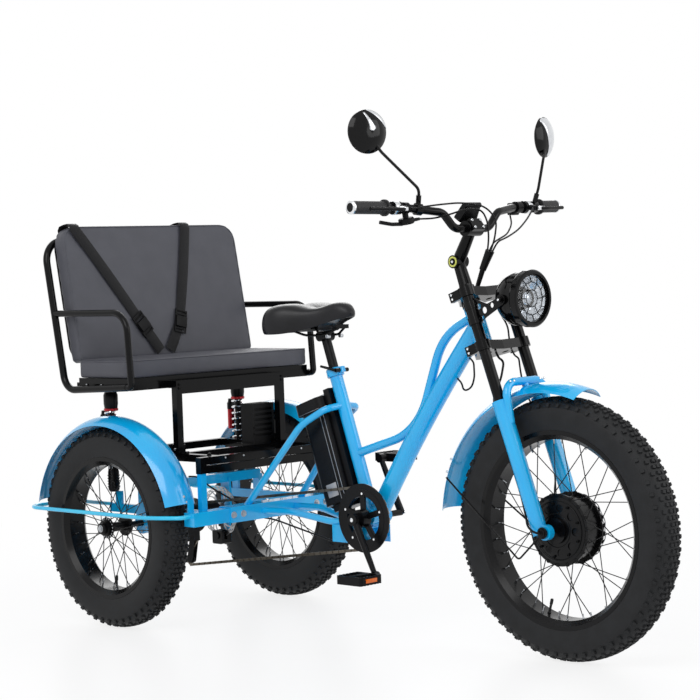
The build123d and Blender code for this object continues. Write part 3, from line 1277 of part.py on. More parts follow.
def bar_point(side, share):
    """A point along the straight outer run of the bar."""
    a, b = Vector(*BAR_POINTS[2]), Vector(*BAR_POINTS[3])
    p = a + (b - a) * share
    return Vector(p.X, side * p.Y, p.Z)


def bar_clamp(side, share, half, thick):
    """A clamp round the bar at a share of its outer run, or of its inner run where negative."""
    start, end = (Vector(*BAR_POINTS[2]), Vector(*BAR_POINTS[3]))
    if share < 0:
        end = Vector(*BAR_POINTS[1])
    way = (end - start).normalized()
    seat = start + (end - start) * abs(share)
    ends = [Vector(p.X, side * p.Y, p.Z) for p in (seat - way * half, seat + way * half)]
    clamp = rod(ends[0], ends[1], BAR_R + thick) - rod(ends[0], ends[1], BAR_R + 0.1)
    return Vector(seat.X, side * seat.Y, seat.Z), clamp


# inside the bar's clamp; the bar's cables are placed from here
LOOM_BASE = FRONT_HUB + Vector(-295.0, 0, 793.0)
SLEEVE_TOP = LOOM_BASE + Vector(59.0, 4.0, -62.0)
SLEEVE_MIDDLE = LOOM_BASE + Vector(34.0, 0.0, -112.0)
SLEEVE_FOOT = LOOM_BASE + Vector(14.0, -2.0, -161.0)
CABLE_R = 2.4
LEAD_R = 3.0
# each cable from its lever or switch to the sleeve
BAR_CABLES = (
    ((6.0, -243.0, 54.0), (16.0, -160.0, 63.0), (23.0, -64.0, 69.0), (43.0, 8.0, 58.0), (71.0, 22.0, 22.0),
     (74.0, 8.0, -28.0)),
    ((-24.0, -180.0, 28.0), (-1.0, -150.0, 28.0), (24.0, -110.0, 38.0), (35.0, -60.0, 52.0),
     (49.0, -12.0, 48.0), (59.0, -2.0, 16.0), (62.0, -3.0, -28.0)),
    ((4.0, 258.0, 54.0), (29.0, 204.0, 26.0), (55.0, 132.0, -6.0), (74.0, 62.0, -26.0),
     (73.0, 20.0, -38.0)),
    ((-31.0, 198.0, 38.0), (9.0, 158.0, 10.0), (45.0, 94.0, -18.0), (60.0, 44.0, -30.0),
     (62.0, 16.0, -40.0)),
)
SLEEVE_ENTRIES = ((6.0, -4.0), (-4.0, -6.0), (4.0, 6.0), (-5.0, 4.0))


def bar_cables():
    """The levers' and switches' cables, gathered in a sleeve that drops to the upper crown."""
    mouth = Plane(origin=SLEEVE_TOP, x_dir=(1, 0, 0), z_dir=SLEEVE_TOP - SLEEVE_MIDDLE)
    neck = SLEEVE_MIDDLE + (SLEEVE_TOP - SLEEVE_MIDDLE) * 0.1
    sleeve = rod(SLEEVE_TOP, SLEEVE_MIDDLE, 12.5, 9.5) + rod(neck, SLEEVE_FOOT, 7.5, 6.0)
    pieces = [sleeve]
    for route, (across, out) in zip(BAR_CABLES, SLEEVE_ENTRIES):
        entry = mouth.from_local_coords(Vector(across, out, 0.8))
        points = [LOOM_BASE + Vector(*point) for point in route]
        pieces.append(cable(points + [entry], CABLE_R))
    return pieces


def fork_cables():
    """The lamp's lead, the motor's lead down the right leg and the brake hose down the left."""
    rear = STANCHION_AHEAD - LEG_R - LEAD_R - 0.4
    half = STANCHION_SPREAD / 2
    under = LOWER_CROWN_S - CROWN_THICK / 2 - 0.9
    hub = FRONT_HUB
    lead = [steer(under, 47, -18), steer(under - 18, 50, -19), steer(470, 68, -24), steer(424, 56, -44),
            steer(390, 33, -66), steer(336, rear, -half), steer(110, rear, -half),
            steer(60, rear - 1, -half - 5), steer(30, 49, -half - 27),
            steer(12, 68, -half - 38), steer(2, 83, -half - 38),
            (hub.X, -AXLE_NUT_Y - AXLE_NUT_THICK / 2 - 0.5, hub.Z)]
    hose = [steer(under, 52, 42), steer(under - 18, 55, 43), steer(478, 62, 48), steer(440, 48, 54),
            steer(392, 33, 66), steer(336, rear, half), steer(150, rear, half), steer(110, 26, half - 12),
            steer(77.9, 22, half - 16)]
    over = LOWER_CROWN_S + CROWN_THICK / 2 + 1.2
    back = LAMP_X - LAMP_DEEP
    lamp_lead = [(back - 0.4, 0, LAMP_Z - 10), (back - 15, 1, LAMP_Z - 13), (back - 20, 8, LAMP_Z - 40),
                 (back - 9, 24, LAMP_Z - 72), tuple(steer(over, 58, 38))]
    return [cable(lead, LEAD_R), cable(hose, CABLE_R), cable(lamp_lead, CABLE_R)]


def front_caliper():
    """The front brake's caliper behind the left leg, straddling the disc's rear edge."""
    leg_y = STANCHION_SPREAD / 2
    hub = FRONT_HUB
    local = Plane(origin=steer(50, 11, 0), x_dir=AXIS_FORWARD, z_dir=AXIS_UP)
    inner, outer = FRONT_ROTOR_Y - CALIPER_GAP - 3.0, leg_y - 5.0
    body = local * Pos(0, (inner + outer) / 2, 0) * Box(44, outer - inner, 54)
    body = fillet(body.edges().filter_by(Axis.Y), 5.0)
    mount = local * Pos(24, leg_y - 8.0, -2) * Box(34, 14, 30)
    leg = rod(steer(-20, STANCHION_AHEAD, leg_y), steer(200, STANCHION_AHEAD, leg_y), LEG_R + RUN_GAP)
    swept = y_disc(ROTOR_R + CALIPER_GAP - 1, 2 * CALIPER_GAP, hub.X, FRONT_ROTOR_Y, hub.Z)
    motor = y_disc(MOTOR_R - 12.0, 200.0, hub.X, 0, hub.Z)
    return body + mount - swept - motor - leg


def grips():
    """Both hand grips with flanged inner ends."""
    pieces = []
    for side in (-1, 1):
        inner, outer = bar_point(side, GRIP_START[side]), bar_point(side, 0.985)
        way = (outer - inner).normalized()
        grip = rod(inner, outer, GRIP_R) + rod(inner, inner + way * 6, GRIP_R + 5)
        pieces.append(grip - rod(inner - way * 5, outer + way * 20, BAR_R + 0.1))
    return pieces


def levers():
    """Brake lever perches and blades ahead of the grips."""
    pieces = []
    for side in (-1, 1):
        seat = bar_point(side, LEVER_SEAT[side])
        tip = bar_point(side, 0.86)
        perch = rod(seat + Vector(0, -14, 0), seat + Vector(0, 14, 0), BAR_R + 6)
        perch = perch + rod(seat, seat + Vector(40, 0, -4), 8.0)
        ahead = Vector(44, 0, -5)
        blade = bent([seat + Vector(38, 0, -4), seat + ahead + Vector(6, side * 30, 0), tip + ahead],
                     [40.0], 5.0)
        core = rod(bar_point(side, 0.0), bar_point(side, 1.0), BAR_R + 0.1)
        pieces.append(perch + blade - core)
    return pieces


def mirror_shell(side):
    """A round mirror's domed shell, its glass side towards the rider."""
    normal = Vector(-math.cos(math.radians(15)), side * math.sin(math.radians(-15)), 0)
    plane = Plane(origin=Vector(MIRROR[0], side * MIRROR[1], MIRROR[2]), z_dir=normal)
    profile = [
        Line((0, 0), (MIRROR_R - 3, 0)),
        Line((MIRROR_R - 3, 0), (MIRROR_R, -3)),
        Line((MIRROR_R, -3), (MIRROR_R, -7)),
        ThreePointArc((MIRROR_R, -7), (MIRROR_R * 0.62, -MIRROR_THICK * 0.84), (0, -MIRROR_THICK)),
        Line((0, -MIRROR_THICK), (0, 0)),
    ]
    face = Plane.XZ * make_face(profile)
    return plane * revolve(face, axis=Axis.Z, revolution_arc=360)


def mirrors():
    """Round mirrors on bent stems clamped to the bar."""
    pieces = []
    for side in (-1, 1):
        base, clamp = bar_clamp(side, MIRROR_SEAT[side], 9.0, 5.0)
        points = [base + Vector(4, side * 2, 14), base + Vector(14, side * 8, 52),
                  Vector(MIRROR[0] + 26, side * (MIRROR[1] - 26), MIRROR[2] - 52),
                  Vector(MIRROR[0] + 6, side * MIRROR[1], MIRROR[2])]
        stem_bar = bent(points, [30.0, 30.0], 4.0)
        way = (points[1] - points[0]).normalized()
        sleeve = rod(points[0], points[0] + way * 24, 7.0)
        pieces.append(fused(stem_bar, mirror_shell(side), clamp, sleeve))
    return pieces


def display():
    """The tapered display case that stands over the stem's clamp, with its cable collar."""
    to_rider = Vector(-0.82, 0, 0.57).normalized()
    plane = Plane(origin=(STEM_CLAMP[0] - 12, 0, STEM_CLAMP[1] + 22), x_dir=(0, -1, 0), z_dir=to_rider)
    face = Polygon((-36, -6), (36, -6), (25, 42), (-25, 42), align=None)
    case = extrude(plane * fillet(face.vertices(), 6.0), DISPLAY_THICK)
    clamp = Vector(STEM_CLAMP[0], 0, STEM_CLAMP[1])
    foot = rod(clamp + to_rider * (BAR_CLAMP_R + RUN_GAP), clamp + to_rider * 34, 9.0)
    top = plane * Pos(0, 42, DISPLAY_THICK / 2) * Rot(0, 90, 0) * Cylinder(7.5, 64.0)
    return fused(case, foot, top)


def bar_controls():
    """The thumb shifter under the right grip's inner end and the switch pod on the left."""
    base, clamp = bar_clamp(-1, 0.06, 8.0, 4.0)
    pod = Pos(base + Vector(4, 0, -34)) * Rot(12, 0, 0) * Cylinder(21.0, 17.0)
    pod = fillet(pod.edges().filter_by(GeomType.CIRCLE), 4.0)
    neck = rod(base + Vector(0, 0, -BAR_R - 1), base + Vector(3, 0, -28), 8.0)
    paddle = bent([base + Vector(0, -12, -42), base + Vector(-6, -46, -42), base + Vector(-18, -78, -36)],
                  [30.0], 5.0)
    barrel = rod(base + Vector(6, 14, -33), base + Vector(8, 46, -29), 5.5, 4.0)
    shifter = fused(clamp, pod, neck, paddle, barrel)
    base, clamp = bar_clamp(1, 0.08, 11.0, 5.0)
    switch = Pos(base + Vector(-14, 0, -4)) * Box(24, 30, 34)
    switch = fillet(switch.edges(), 5.0)
    bore = bar_run(BAR_R + RUN_GAP)
    return [shifter - bore, (clamp + switch) - bore]


def main():
    save("main_frame", main_frame())
    save("axle_frame", axle_frame())
    save("wheel_guards", wheel_guard(-1), wheel_guard(1))
    save("platform", platform())
    save("bench_frame", bench_frame())
    save("bench_hoop", bench_hoop())
    save("back_board", back_board())
    save("seat_cushion", seat_cushion())
    save("back_cushion", back_cushion())
    webbing, buckles = belts()
    save("seat_belts", *webbing)
    save("belt_buckles", *buckles)
    save("rear_shocks", shock(-1), shock(1))
    save("battery", battery())
    save("battery_rail", battery_rail())
    save("seat_post", seat_post())
    save("saddle", saddle())
    save("saddle_frame", saddle_frame())
    save("controller", controller())
    save("rear_caliper", rear_caliper())
    save("rear_cable", rear_cable())
    save("head_cable", head_cable())
    save("rear_fenders", rear_fender(-1), rear_fender(1))
    save("chain", chain())
    save("derailleur", derailleur())
    front_wheel()
    rear_wheel(-1, "right")
    rear_wheel(1, "left")
    rear_drive()
    cranks, right_end, left_end = crankset()
    save("crankset", cranks)
    save("pedal_right", pedal(-1, *right_end))
    save("pedal_left", pedal(1, *left_end))
    save("fork_upper", fork_upper())
    save("fork_lower", fork_lower())
    save("front_axle", front_axle())
    save("front_fender", front_fender())
    save("fender_stays", fender_stay(-1), fender_stay(1))
    save("headlamp", lamp())
    save("lamp_lens", lamp_lens())
    save("lamp_grille", lamp_grille())
    save("stem", stem())
    save("handlebar", bar_run(BAR_R))
    save("grips", *grips())
    save("brake_levers", *levers())
    save("mirrors", *mirrors())
    save("display", display())
    save("bar_controls", *bar_controls())
    save("bar_cables", *bar_cables())
    save("fork_cables", *fork_cables())
    save("front_caliper", front_caliper())


main()
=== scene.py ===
"""The electric passenger tricycle, dressed: finishes, tyres, upholstery, webbing and small hardware."""

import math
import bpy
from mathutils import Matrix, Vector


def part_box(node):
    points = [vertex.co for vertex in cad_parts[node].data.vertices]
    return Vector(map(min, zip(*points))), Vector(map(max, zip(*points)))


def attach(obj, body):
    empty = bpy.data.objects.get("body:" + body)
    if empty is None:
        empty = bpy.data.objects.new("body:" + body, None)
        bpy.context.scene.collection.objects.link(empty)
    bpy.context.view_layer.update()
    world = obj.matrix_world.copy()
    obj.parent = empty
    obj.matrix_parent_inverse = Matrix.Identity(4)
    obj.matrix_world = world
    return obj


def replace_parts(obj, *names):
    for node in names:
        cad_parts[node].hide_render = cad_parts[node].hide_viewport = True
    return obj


bl_info = {
    "name": "Electric Passenger Tricycle",
    "version": (1, 0, 0),
    "blender": (4, 5, 0),
    "location": "View3D > Sidebar > Tricycle",
    "description": "Dresses the packed frame of a fat-tyre passenger tricycle",
    "category": "Object",
}

import bmesh
import bpy
from mathutils import Matrix, Vector
from mathutils.bvhtree import BVHTree

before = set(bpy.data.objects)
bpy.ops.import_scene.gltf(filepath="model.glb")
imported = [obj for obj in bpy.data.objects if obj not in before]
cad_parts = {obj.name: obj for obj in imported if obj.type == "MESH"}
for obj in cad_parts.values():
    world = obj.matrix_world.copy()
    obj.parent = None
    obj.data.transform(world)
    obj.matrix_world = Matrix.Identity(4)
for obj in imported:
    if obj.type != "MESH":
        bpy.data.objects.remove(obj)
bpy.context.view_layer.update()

MM = 0.001
SIDES = {"right": -1.0, "left": 1.0}


# ---- small tools -----------------------------------------------------------------------------
def linear(code):
    """An sRGB hex colour as linear red, green, blue and alpha."""
    channels = []
    for start in (1, 3, 5):
        value = int(code[start:start + 2], 16) / 255.0
        channels.append(value / 12.92 if value <= 0.04045 else ((value + 0.055) / 1.055) ** 2.4)
    return (*channels, 1.0)


def add_node(tree, kind, inputs=None, **settings):
    """Adds one node; each input is a value, or the (node, output) that feeds it."""
    node = tree.nodes.new(kind)
    for name, value in settings.items():
        setattr(node, name, value)
    for name, value in (inputs or {}).items():
        if isinstance(value, tuple) and len(value) == 2 and isinstance(value[0], bpy.types.Node):
            tree.links.new(value[0].outputs[value[1]], node.inputs[name])
        else:
            node.inputs[name].default_value = value
    return node


def new_material(name, **sockets):
    """A material with one Principled shader, and its tree and shader."""
    material = bpy.data.materials.new(name)
    material.use_nodes = True
    tree = material.node_tree
    tree.nodes.clear()
    shader = add_node(tree, "ShaderNodeBsdfPrincipled")
    for socket, value in sockets.items():
        shader.inputs[socket.replace("_", " ")].default_value = value
    out = add_node(tree, "ShaderNodeOutputMaterial", {"Surface": (shader, "BSDF")})
    out.location = (300, 0)
    return material, tree, shader


def feed(tree, shader, socket, node, output):
    """Joins a node's output to a socket of the shader."""
    tree.links.new(node.outputs[output], shader.inputs[socket])


def bumped(tree, shader, node, output, height_mm, strength=1.0):
    """Sends a pattern to the shader as relief of a real height."""
    bump = add_node(tree, "ShaderNodeBump", {"Height": (node, output), "Distance": height_mm * MM,
                                             "Strength": strength})
    feed(tree, shader, "Normal", bump, "Normal")


def object_space(tree, scale=(1.0, 1.0, 1.0)):
    """Coordinates that move with the object, in metres."""
    coords = add_node(tree, "ShaderNodeTexCoord")
    return add_node(tree, "ShaderNodeMapping", {"Vector": (coords, "Object"), "Scale": scale})


def per_metre(size_mm):
    """A texture scale for a pattern that repeats at a real size."""
    return 1.0 / (size_mm * MM)


def wave_scale(size_mm):
    """A wave texture's scale for bands of a real size; its own bands repeat every 2 pi / 20 units."""
    return math.tau / 20.0 * per_metre(size_mm)


def two_tone(tree, source, output, low, high, start=0.35, end=0.65):
    """A colour that drifts between two hex values as a pattern rises."""
    ramp = add_node(tree, "ShaderNodeValToRGB", {"Fac": (source, output)})
    ramp.color_ramp.elements[0].position = start
    ramp.color_ramp.elements[1].position = end
    ramp.color_ramp.elements[0].color = linear(low)
    ramp.color_ramp.elements[1].color = linear(high)
    return ramp


def span(tree, source, output, low, high):
    """A pattern from 0 to 1, stretched between two values."""
    return add_node(tree, "ShaderNodeMapRange", {"Value": (source, output), "To Min": low, "To Max": high})


def make_object(name, mesh, *materials):
    """An object in the scene with its materials."""
    piece = bpy.data.objects.new(name, mesh)
    bpy.context.scene.collection.objects.link(piece)
    for material in materials:
        mesh.materials.append(material)
    return piece


def from_bmesh(name, build, *materials, smooth=30.0):
    """Turns a finished bmesh into an object with smooth shading up to an angle."""
    bmesh.ops.recalc_face_normals(build, faces=build.faces)
    mesh = bpy.data.meshes.new(name)
    build.to_mesh(mesh)
    build.free()
    piece = make_object(name, mesh, *materials)
    mesh.shade_smooth()
    mesh.set_sharp_from_angle(angle=math.radians(smooth))
    return piece


def settle(piece, body):
    """Gives a piece its body."""
    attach(piece, body)
    return piece


def fit(name, build, finish, body, smooth=30.0):
    """Makes a piece in one of the finishes, with its body."""
    return settle(from_bmesh(name, build, FINISHES[finish], smooth=smooth), body)


def length(name, description, size_mm):
    """A length property with its default in millimetres."""
    return bpy.props.FloatProperty(name=name, description=description, default=size_mm * MM, unit="LENGTH")


def finish_nodes(material, *names):
    """Gives carried-over nodes their finish."""
    for name in names:
        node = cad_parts[name]
        node.data.materials.clear()
        node.data.materials.append(material)


def centre(node):
    """The middle of a node's box."""
    low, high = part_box(node)
    return (Vector(low) + Vector(high)) / 2


CORNERS = ((-1, -1), (1, -1), (1, 1), (-1, 1))


def ring_points(count, radius, phase=0.0):
    """Points round a circle."""
    return [(radius * math.cos(phase + 2 * math.pi * i / count),
             radius * math.sin(phase + 2 * math.pi * i / count)) for i in range(count)]


def skin(build, rings, closed=False, capped=False):
    """Joins rings of points, any of which may be a single point; capped fills the first and the last."""
    pairs = list(zip(rings, rings[1:]))
    if closed:
        pairs.append((rings[-1], rings[0]))
    for low, high in pairs:
        count = max(len(low), len(high))
        for i in range(count):
            j = (i + 1) % count
            corners = (low[i % len(low)], low[j % len(low)], high[j % len(high)], high[i % len(high)])
            unique = list(dict.fromkeys(corners))
            if len(unique) > 2:
                build.faces.new(unique)
    if capped:
        build.faces.new(list(reversed(rings[0])))
        build.faces.new(rings[-1])


def lathe(build, profile, origin, axis, steps=48, close=False):
    """Spins a profile of (along, radius) about an axis through origin."""
    axis = Vector(axis).normalized()
    turn = axis.to_track_quat("Z", "X").to_matrix()
    rings = []
    for along, radius in profile:
        if radius < 1e-7:
            rings.append([build.verts.new(Vector(origin) + turn @ Vector((0, 0, along)))])
            continue
        rings.append([build.verts.new(Vector(origin) + turn @ Vector((a, b, along)))
                      for a, b in ring_points(steps, radius)])
    skin(build, rings, closed=close)


def turned(build, profile, seat, axis, steps=48, close=False):
    """Spins a profile of (along, radius) in millimetres about an axis through its seat."""
    lathe(build, [(along * MM, radius * MM) for along, radius in profile], seat, axis, steps, close)


def tube_along(build, points, radius, steps=10, closed=False):
    """A round tube through a list of points, carried from frame to frame without twist."""
    points = [Vector(p) for p in points]
    count = len(points)
    tangents = []
    for i in range(count):
        before = points[i - 1] if (i or closed) else points[0]
        after = points[(i + 1) % count] if (i < count - 1 or closed) else points[-1]
        tangents.append((after - before).normalized())
    side = tangents[0].orthogonal().normalized()
    rings = []
    for point, tangent in zip(points, tangents):
        side = (side - tangent * side.dot(tangent)).normalized()
        up = tangent.cross(side)
        rings.append([build.verts.new(point + side * a + up * b) for a, b in ring_points(steps, radius)])
    skin(build, rings, closed, capped=not closed)


def block(build, matrix, size, taper=1.0, bottom=True):
    """A block on its base, narrowed towards its top."""
    x, y, z = size
    lower, upper = ([build.verts.new(matrix @ Vector((a * x * share / 2, b * y * share / 2, level)))
                     for a, b in CORNERS] for share, level in ((1.0, 0.0), (taper, z)))
    skin(build, (lower, upper))
    build.faces.new(upper)
    if bottom:
        build.faces.new(list(reversed(lower)))


# ---- finishes --------------------------------------------------------------------------------
class FinishColours(bpy.types.PropertyGroup):
    """Colours that a workshop would choose."""
    paint: bpy.props.StringProperty(
        name="Frame paint", description="sRGB hex of the frame's enamel", default="#08B2EE")
    guard: bpy.props.StringProperty(
        name="Guard paint", description="sRGB hex of the wheel guards' enamel", default="#24CBF4")
    vinyl: bpy.props.StringProperty(
        name="Bench vinyl", description="sRGB hex of the bench's upholstery", default="#474850")


def paint_material(name, code, deeper):
    """Sprayed and baked enamel on steel: a deep gloss with the faint ripple of sprayed paint."""
    material, tree, shader = new_material(name, Roughness=0.22, Coat_Weight=0.5, Coat_Roughness=0.06)
    space = object_space(tree)
    drift = add_node(tree, "ShaderNodeTexNoise", {"Vector": (space, "Vector"), "Scale": per_metre(180),
                                                  "Detail": 2.0})
    colour = two_tone(tree, drift, "Fac", deeper, code)
    feed(tree, shader, "Base Color", colour, "Color")
    ripple = add_node(tree, "ShaderNodeTexNoise", {"Vector": (space, "Vector"), "Scale": per_metre(2.5),
                                                   "Detail": 1.0})
    bumped(tree, shader, ripple, "Fac", 0.05, 0.35)
    return material


def speckled_black(name, low, high, rough, grain_mm, relief, **sockets):
    """A black surface with a fine grain that breaks up its highlights."""
    material, tree, shader = new_material(name, Roughness=rough, **sockets)
    space = object_space(tree)
    grain = add_node(tree, "ShaderNodeTexNoise", {"Vector": (space, "Vector"), "Scale": per_metre(grain_mm),
                                                  "Detail": 3.0})
    colour = two_tone(tree, grain, "Fac", low, high)
    feed(tree, shader, "Base Color", colour, "Color")
    rough_span = span(tree, grain, "Fac", max(0.02, rough - 0.08), rough + 0.08)
    feed(tree, shader, "Roughness", rough_span, "Result")
    bumped(tree, shader, grain, "Fac", relief, 0.5)
    return material


def metal_material(name, code, rough, brushed_mm=0.0, axis_scale=(1.0, 1.0, 1.0)):
    """A bare metal, with fine marks along one way where it was brushed."""
    material, tree, shader = new_material(name, Metallic=1.0, Roughness=rough)
    space = object_space(tree, axis_scale)
    marks = add_node(tree, "ShaderNodeTexNoise", {"Vector": (space, "Vector"),
                                                  "Scale": per_metre(brushed_mm or 8.0), "Detail": 3.0})
    shade = span(tree, marks, "Fac", 0.75, 1.15)
    mix = add_node(tree, "ShaderNodeVectorMath", {0: linear(code)[:3], 1: (shade, "Result")},
                   operation="MULTIPLY")
    feed(tree, shader, "Base Color", mix, "Vector")
    rough_span = span(tree, marks, "Fac", max(0.03, rough - 0.06), rough + 0.1)
    feed(tree, shader, "Roughness", rough_span, "Result")
    return material


def leather_grain(name, low, high, rough, cell_mm, relief, **sockets):
    """Coated fabric embossed with a pebbled leather grain: soft sheen, dull in its creases."""
    material, tree, shader = new_material(name, Roughness=rough, **sockets)
    space = object_space(tree)
    cells = add_node(tree, "ShaderNodeTexVoronoi", {"Vector": (space, "Vector"), "Scale": per_metre(cell_mm)},
                     feature="DISTANCE_TO_EDGE")
    edge = span(tree, cells, "Distance", 0.0, 1.0)
    edge.inputs["From Max"].default_value = 0.25
    drift = add_node(tree, "ShaderNodeTexNoise", {"Vector": (space, "Vector"), "Scale": per_metre(60),
                                                  "Detail": 3.0})
    colour = two_tone(tree, drift, "Fac", low, high, 0.3, 0.7)
    feed(tree, shader, "Base Color", colour, "Color")
    rough_span = span(tree, drift, "Fac", rough - 0.05, rough + 0.08)
    feed(tree, shader, "Roughness", rough_span, "Result")
    bumped(tree, shader, edge, "Result", relief, 0.6)
    return material


def webbing_material():
    """Woven nylon webbing: ribs 1.4 mm apart crossed by rows 1.6 mm apart, with a slight sheen."""
    material, tree, shader = new_material("woven_nylon_webbing", Roughness=0.55, Sheen_Weight=0.06,
                                          Specular_IOR_Level=0.2)
    space = object_space(tree)
    ribs = add_node(tree, "ShaderNodeTexWave", {"Vector": (space, "Vector"), "Scale": wave_scale(1.383),
                                                "Distortion": 0.3}, wave_type="BANDS", bands_direction="Z")
    rows = add_node(tree, "ShaderNodeTexWave", {"Vector": (space, "Vector"), "Scale": wave_scale(1.634)},
                    wave_type="BANDS", bands_direction="Y")
    weave = add_node(tree, "ShaderNodeMath", {0: (ribs, "Fac"), 1: (rows, "Fac")}, operation="MULTIPLY")
    colour = two_tone(tree, weave, "Value", "#08080A", "#1E1E22", 0.1, 0.9)
    feed(tree, shader, "Base Color", colour, "Color")
    bumped(tree, shader, weave, "Value", 0.35, 0.7)
    return material


def tyre_material():
    """Vulcanised rubber: near black, dull, with a dusty bloom and moulding marks."""
    material, tree, shader = new_material("vulcanised_rubber", Roughness=0.62, Specular_IOR_Level=0.3)
    space = object_space(tree)
    bloom = add_node(tree, "ShaderNodeTexNoise", {"Vector": (space, "Vector"), "Scale": per_metre(35),
                                                  "Detail": 4.0})
    colour = two_tone(tree, bloom, "Fac", "#101113", "#1B1C1E")
    feed(tree, shader, "Base Color", colour, "Color")
    rough_span = span(tree, bloom, "Fac", 0.5, 0.74)
    feed(tree, shader, "Roughness", rough_span, "Result")
    fine = add_node(tree, "ShaderNodeTexNoise", {"Vector": (space, "Vector"), "Scale": per_metre(1.6),
                                                 "Detail": 2.0})
    bumped(tree, shader, fine, "Fac", 0.15, 0.5)
    return material


def clear_lens():
    """Moulded polycarbonate: clear, with a bright edge."""
    material, _, _ = new_material("polycarbonate_lens", Base_Color=linear("#F4F7FA"), Roughness=0.03,
                                  Transmission_Weight=1.0, IOR=1.58)
    return material


def lit_plastic(name, code, rough=0.35, **sockets):
    """A moulded coloured plastic with a slight mottle."""
    material, tree, shader = new_material(name, Roughness=rough, **sockets)
    space = object_space(tree)
    mottle = add_node(tree, "ShaderNodeTexNoise", {"Vector": (space, "Vector"), "Scale": per_metre(5)})
    base = linear(code)[:3]
    shade = span(tree, mottle, "Fac", 0.88, 1.08)
    mix = add_node(tree, "ShaderNodeVectorMath", {0: base, 1: (shade, "Result")}, operation="MULTIPLY")
    feed(tree, shader, "Base Color", mix, "Vector")
    return material


FINISHES = {}
# the nodes that are shown as packed, by their finish
CARRIED = {
    "paint": ("main_frame", "axle_frame", "rear_fenders", "fork_lower", "front_fender"),
    "guard": ("wheel_guards",),
    "tube": ("platform", "bench_frame", "bench_hoop", "fork_upper", "stem", "handlebar", "fender_stays",
             "saddle_frame", "front_axle"),
    "board": ("back_board",),
    "plastic": ("controller", "display", "brake_levers", "drive_case", "derailleur", "pedal_right",
                "pedal_left", "bar_controls"),
    "gloss_plastic": ("headlamp", "mirrors"),
    "rim": ("hub_motor", "front_rim_spokes", "rear_rim_spokes_right", "rear_rim_spokes_left"),
    "anodised": ("battery", "battery_rail", "seat_post", "crankset", "rear_hub_right", "rear_hub_left",
                 "rear_caliper", "front_caliper"),
    "cable": ("rear_cable", "head_cable", "bar_cables", "fork_cables"),
    "lens": ("lamp_lens",),
    "chain": ("chain", "cassette"),
    "grip": ("grips",),
}


def make_finishes(colours):
    """Every finish on the tricycle, by its maker's name."""
    table = FINISHES
    table["paint"] = paint_material("baked_enamel_sky_blue", colours.paint, "#07A6E8")
    table["guard"] = paint_material("baked_enamel_light_blue", colours.guard, "#1CBEEE")
    table["tube"] = speckled_black("baked_enamel_black", "#040405", "#09090A", 0.16, 3.0, 0.02,
                                   Specular_IOR_Level=0.16)
    table["board"] = speckled_black("textured_abs_sheet", "#0C0C0E", "#151518", 0.55, 1.5, 0.12,
                                    Specular_IOR_Level=0.2)
    table["plastic"] = speckled_black("moulded_nylon_black", "#060607", "#0F0F11", 0.42, 1.8, 0.08,
                                      Specular_IOR_Level=0.14)
    table["gloss_plastic"] = speckled_black("moulded_abs_gloss", "#030304", "#070708", 0.12, 4.0, 0.02,
                                            Specular_IOR_Level=0.2)
    table["anodised"] = speckled_black("anodised_aluminium_black", "#060607", "#0E0E11", 0.3, 2.0, 0.03,
                                       Specular_IOR_Level=0.16)
    table["rim"] = speckled_black("powder_coat_black", "#050506", "#0B0B0D", 0.22, 2.6, 0.04,
                                  Specular_IOR_Level=0.2)
    table["cable"] = speckled_black("extruded_cable_sheath", "#050506", "#0B0B0C", 0.38, 2.2, 0.03,
                                    Specular_IOR_Level=0.16)
    table["vinyl"] = leather_grain("embossed_vinyl_charcoal", "#3F4048", colours.vinyl, 0.5, 2.6, 0.25)
    table["saddle"] = leather_grain("embossed_vinyl_black", "#0D0D10", "#17171B", 0.3, 2.0, 0.14,
                                    Specular_IOR_Level=0.28)
    table["webbing"] = webbing_material()
    table["rubber"] = tyre_material()
    table["grip"] = leather_grain("moulded_grip_rubber", "#101012", "#1A1A1C", 0.6, 3.0, 0.3)
    table["steel"] = metal_material("zinc_plated_steel", "#B9BCC0", 0.28, 1.5)
    table["chrome"] = metal_material("chromed_steel", "#E4E6E8", 0.07)
    table["disc"] = metal_material("ground_stainless_steel", "#A9ABAE", 0.26, 0.8, (1.0, 8.0, 1.0))
    table["chain"] = metal_material("blued_chain_steel", "#6B655C", 0.34, 2.0)
    table["mirror"] = new_material("silvered_glass", Base_Color=linear("#D9DDE0"), Metallic=1.0,
                                   Roughness=0.02)[0]
    table["lens"] = clear_lens()
    table["reflector"] = metal_material("vacuum_metallised_reflector", "#EDEFF2", 0.2)
    table["amber"] = lit_plastic("acrylic_reflector_amber", "#F0701A", 0.2)
    table["red"] = lit_plastic("anodised_collar_red", "#B3202A", 0.3, Metallic=0.6)
    table["silver_label"] = lit_plastic("blank_foil_plate", "#A8ABB0", 0.35, Metallic=0.5)
    table["yellow"] = lit_plastic("moulded_yellow_ring", "#D6DA6A", 0.4)
    # painted highlight: thin bright metal lines on the battery that stand for light on its edges
    table["painted_highlight_line"] = metal_material("painted_highlight_metal", "#B4B7BC", 0.3, 1.2)
    # painted highlight: bright chrome sheets on the mirrors' black backs, shaped as reflections
    table["mirror_painted_highlight"] = metal_material("painted_highlight_chrome", "#D8DADD", 0.1)
    table["bullseye"] = metal_material("bullseye_reflector", "#C9CCD0", 0.06)


class TRIKE_OT_finishes(bpy.types.Operator):
    """Gives the carried-over pieces of the frame their finishes"""
    bl_idname = "trike.finishes"
    bl_label = "Frame finishes"

    def execute(self, context):
        make_finishes(context.scene.trike_colours)
        for finish, names in CARRIED.items():
            finish_nodes(FINISHES[finish], *names)
        return {"FINISHED"}


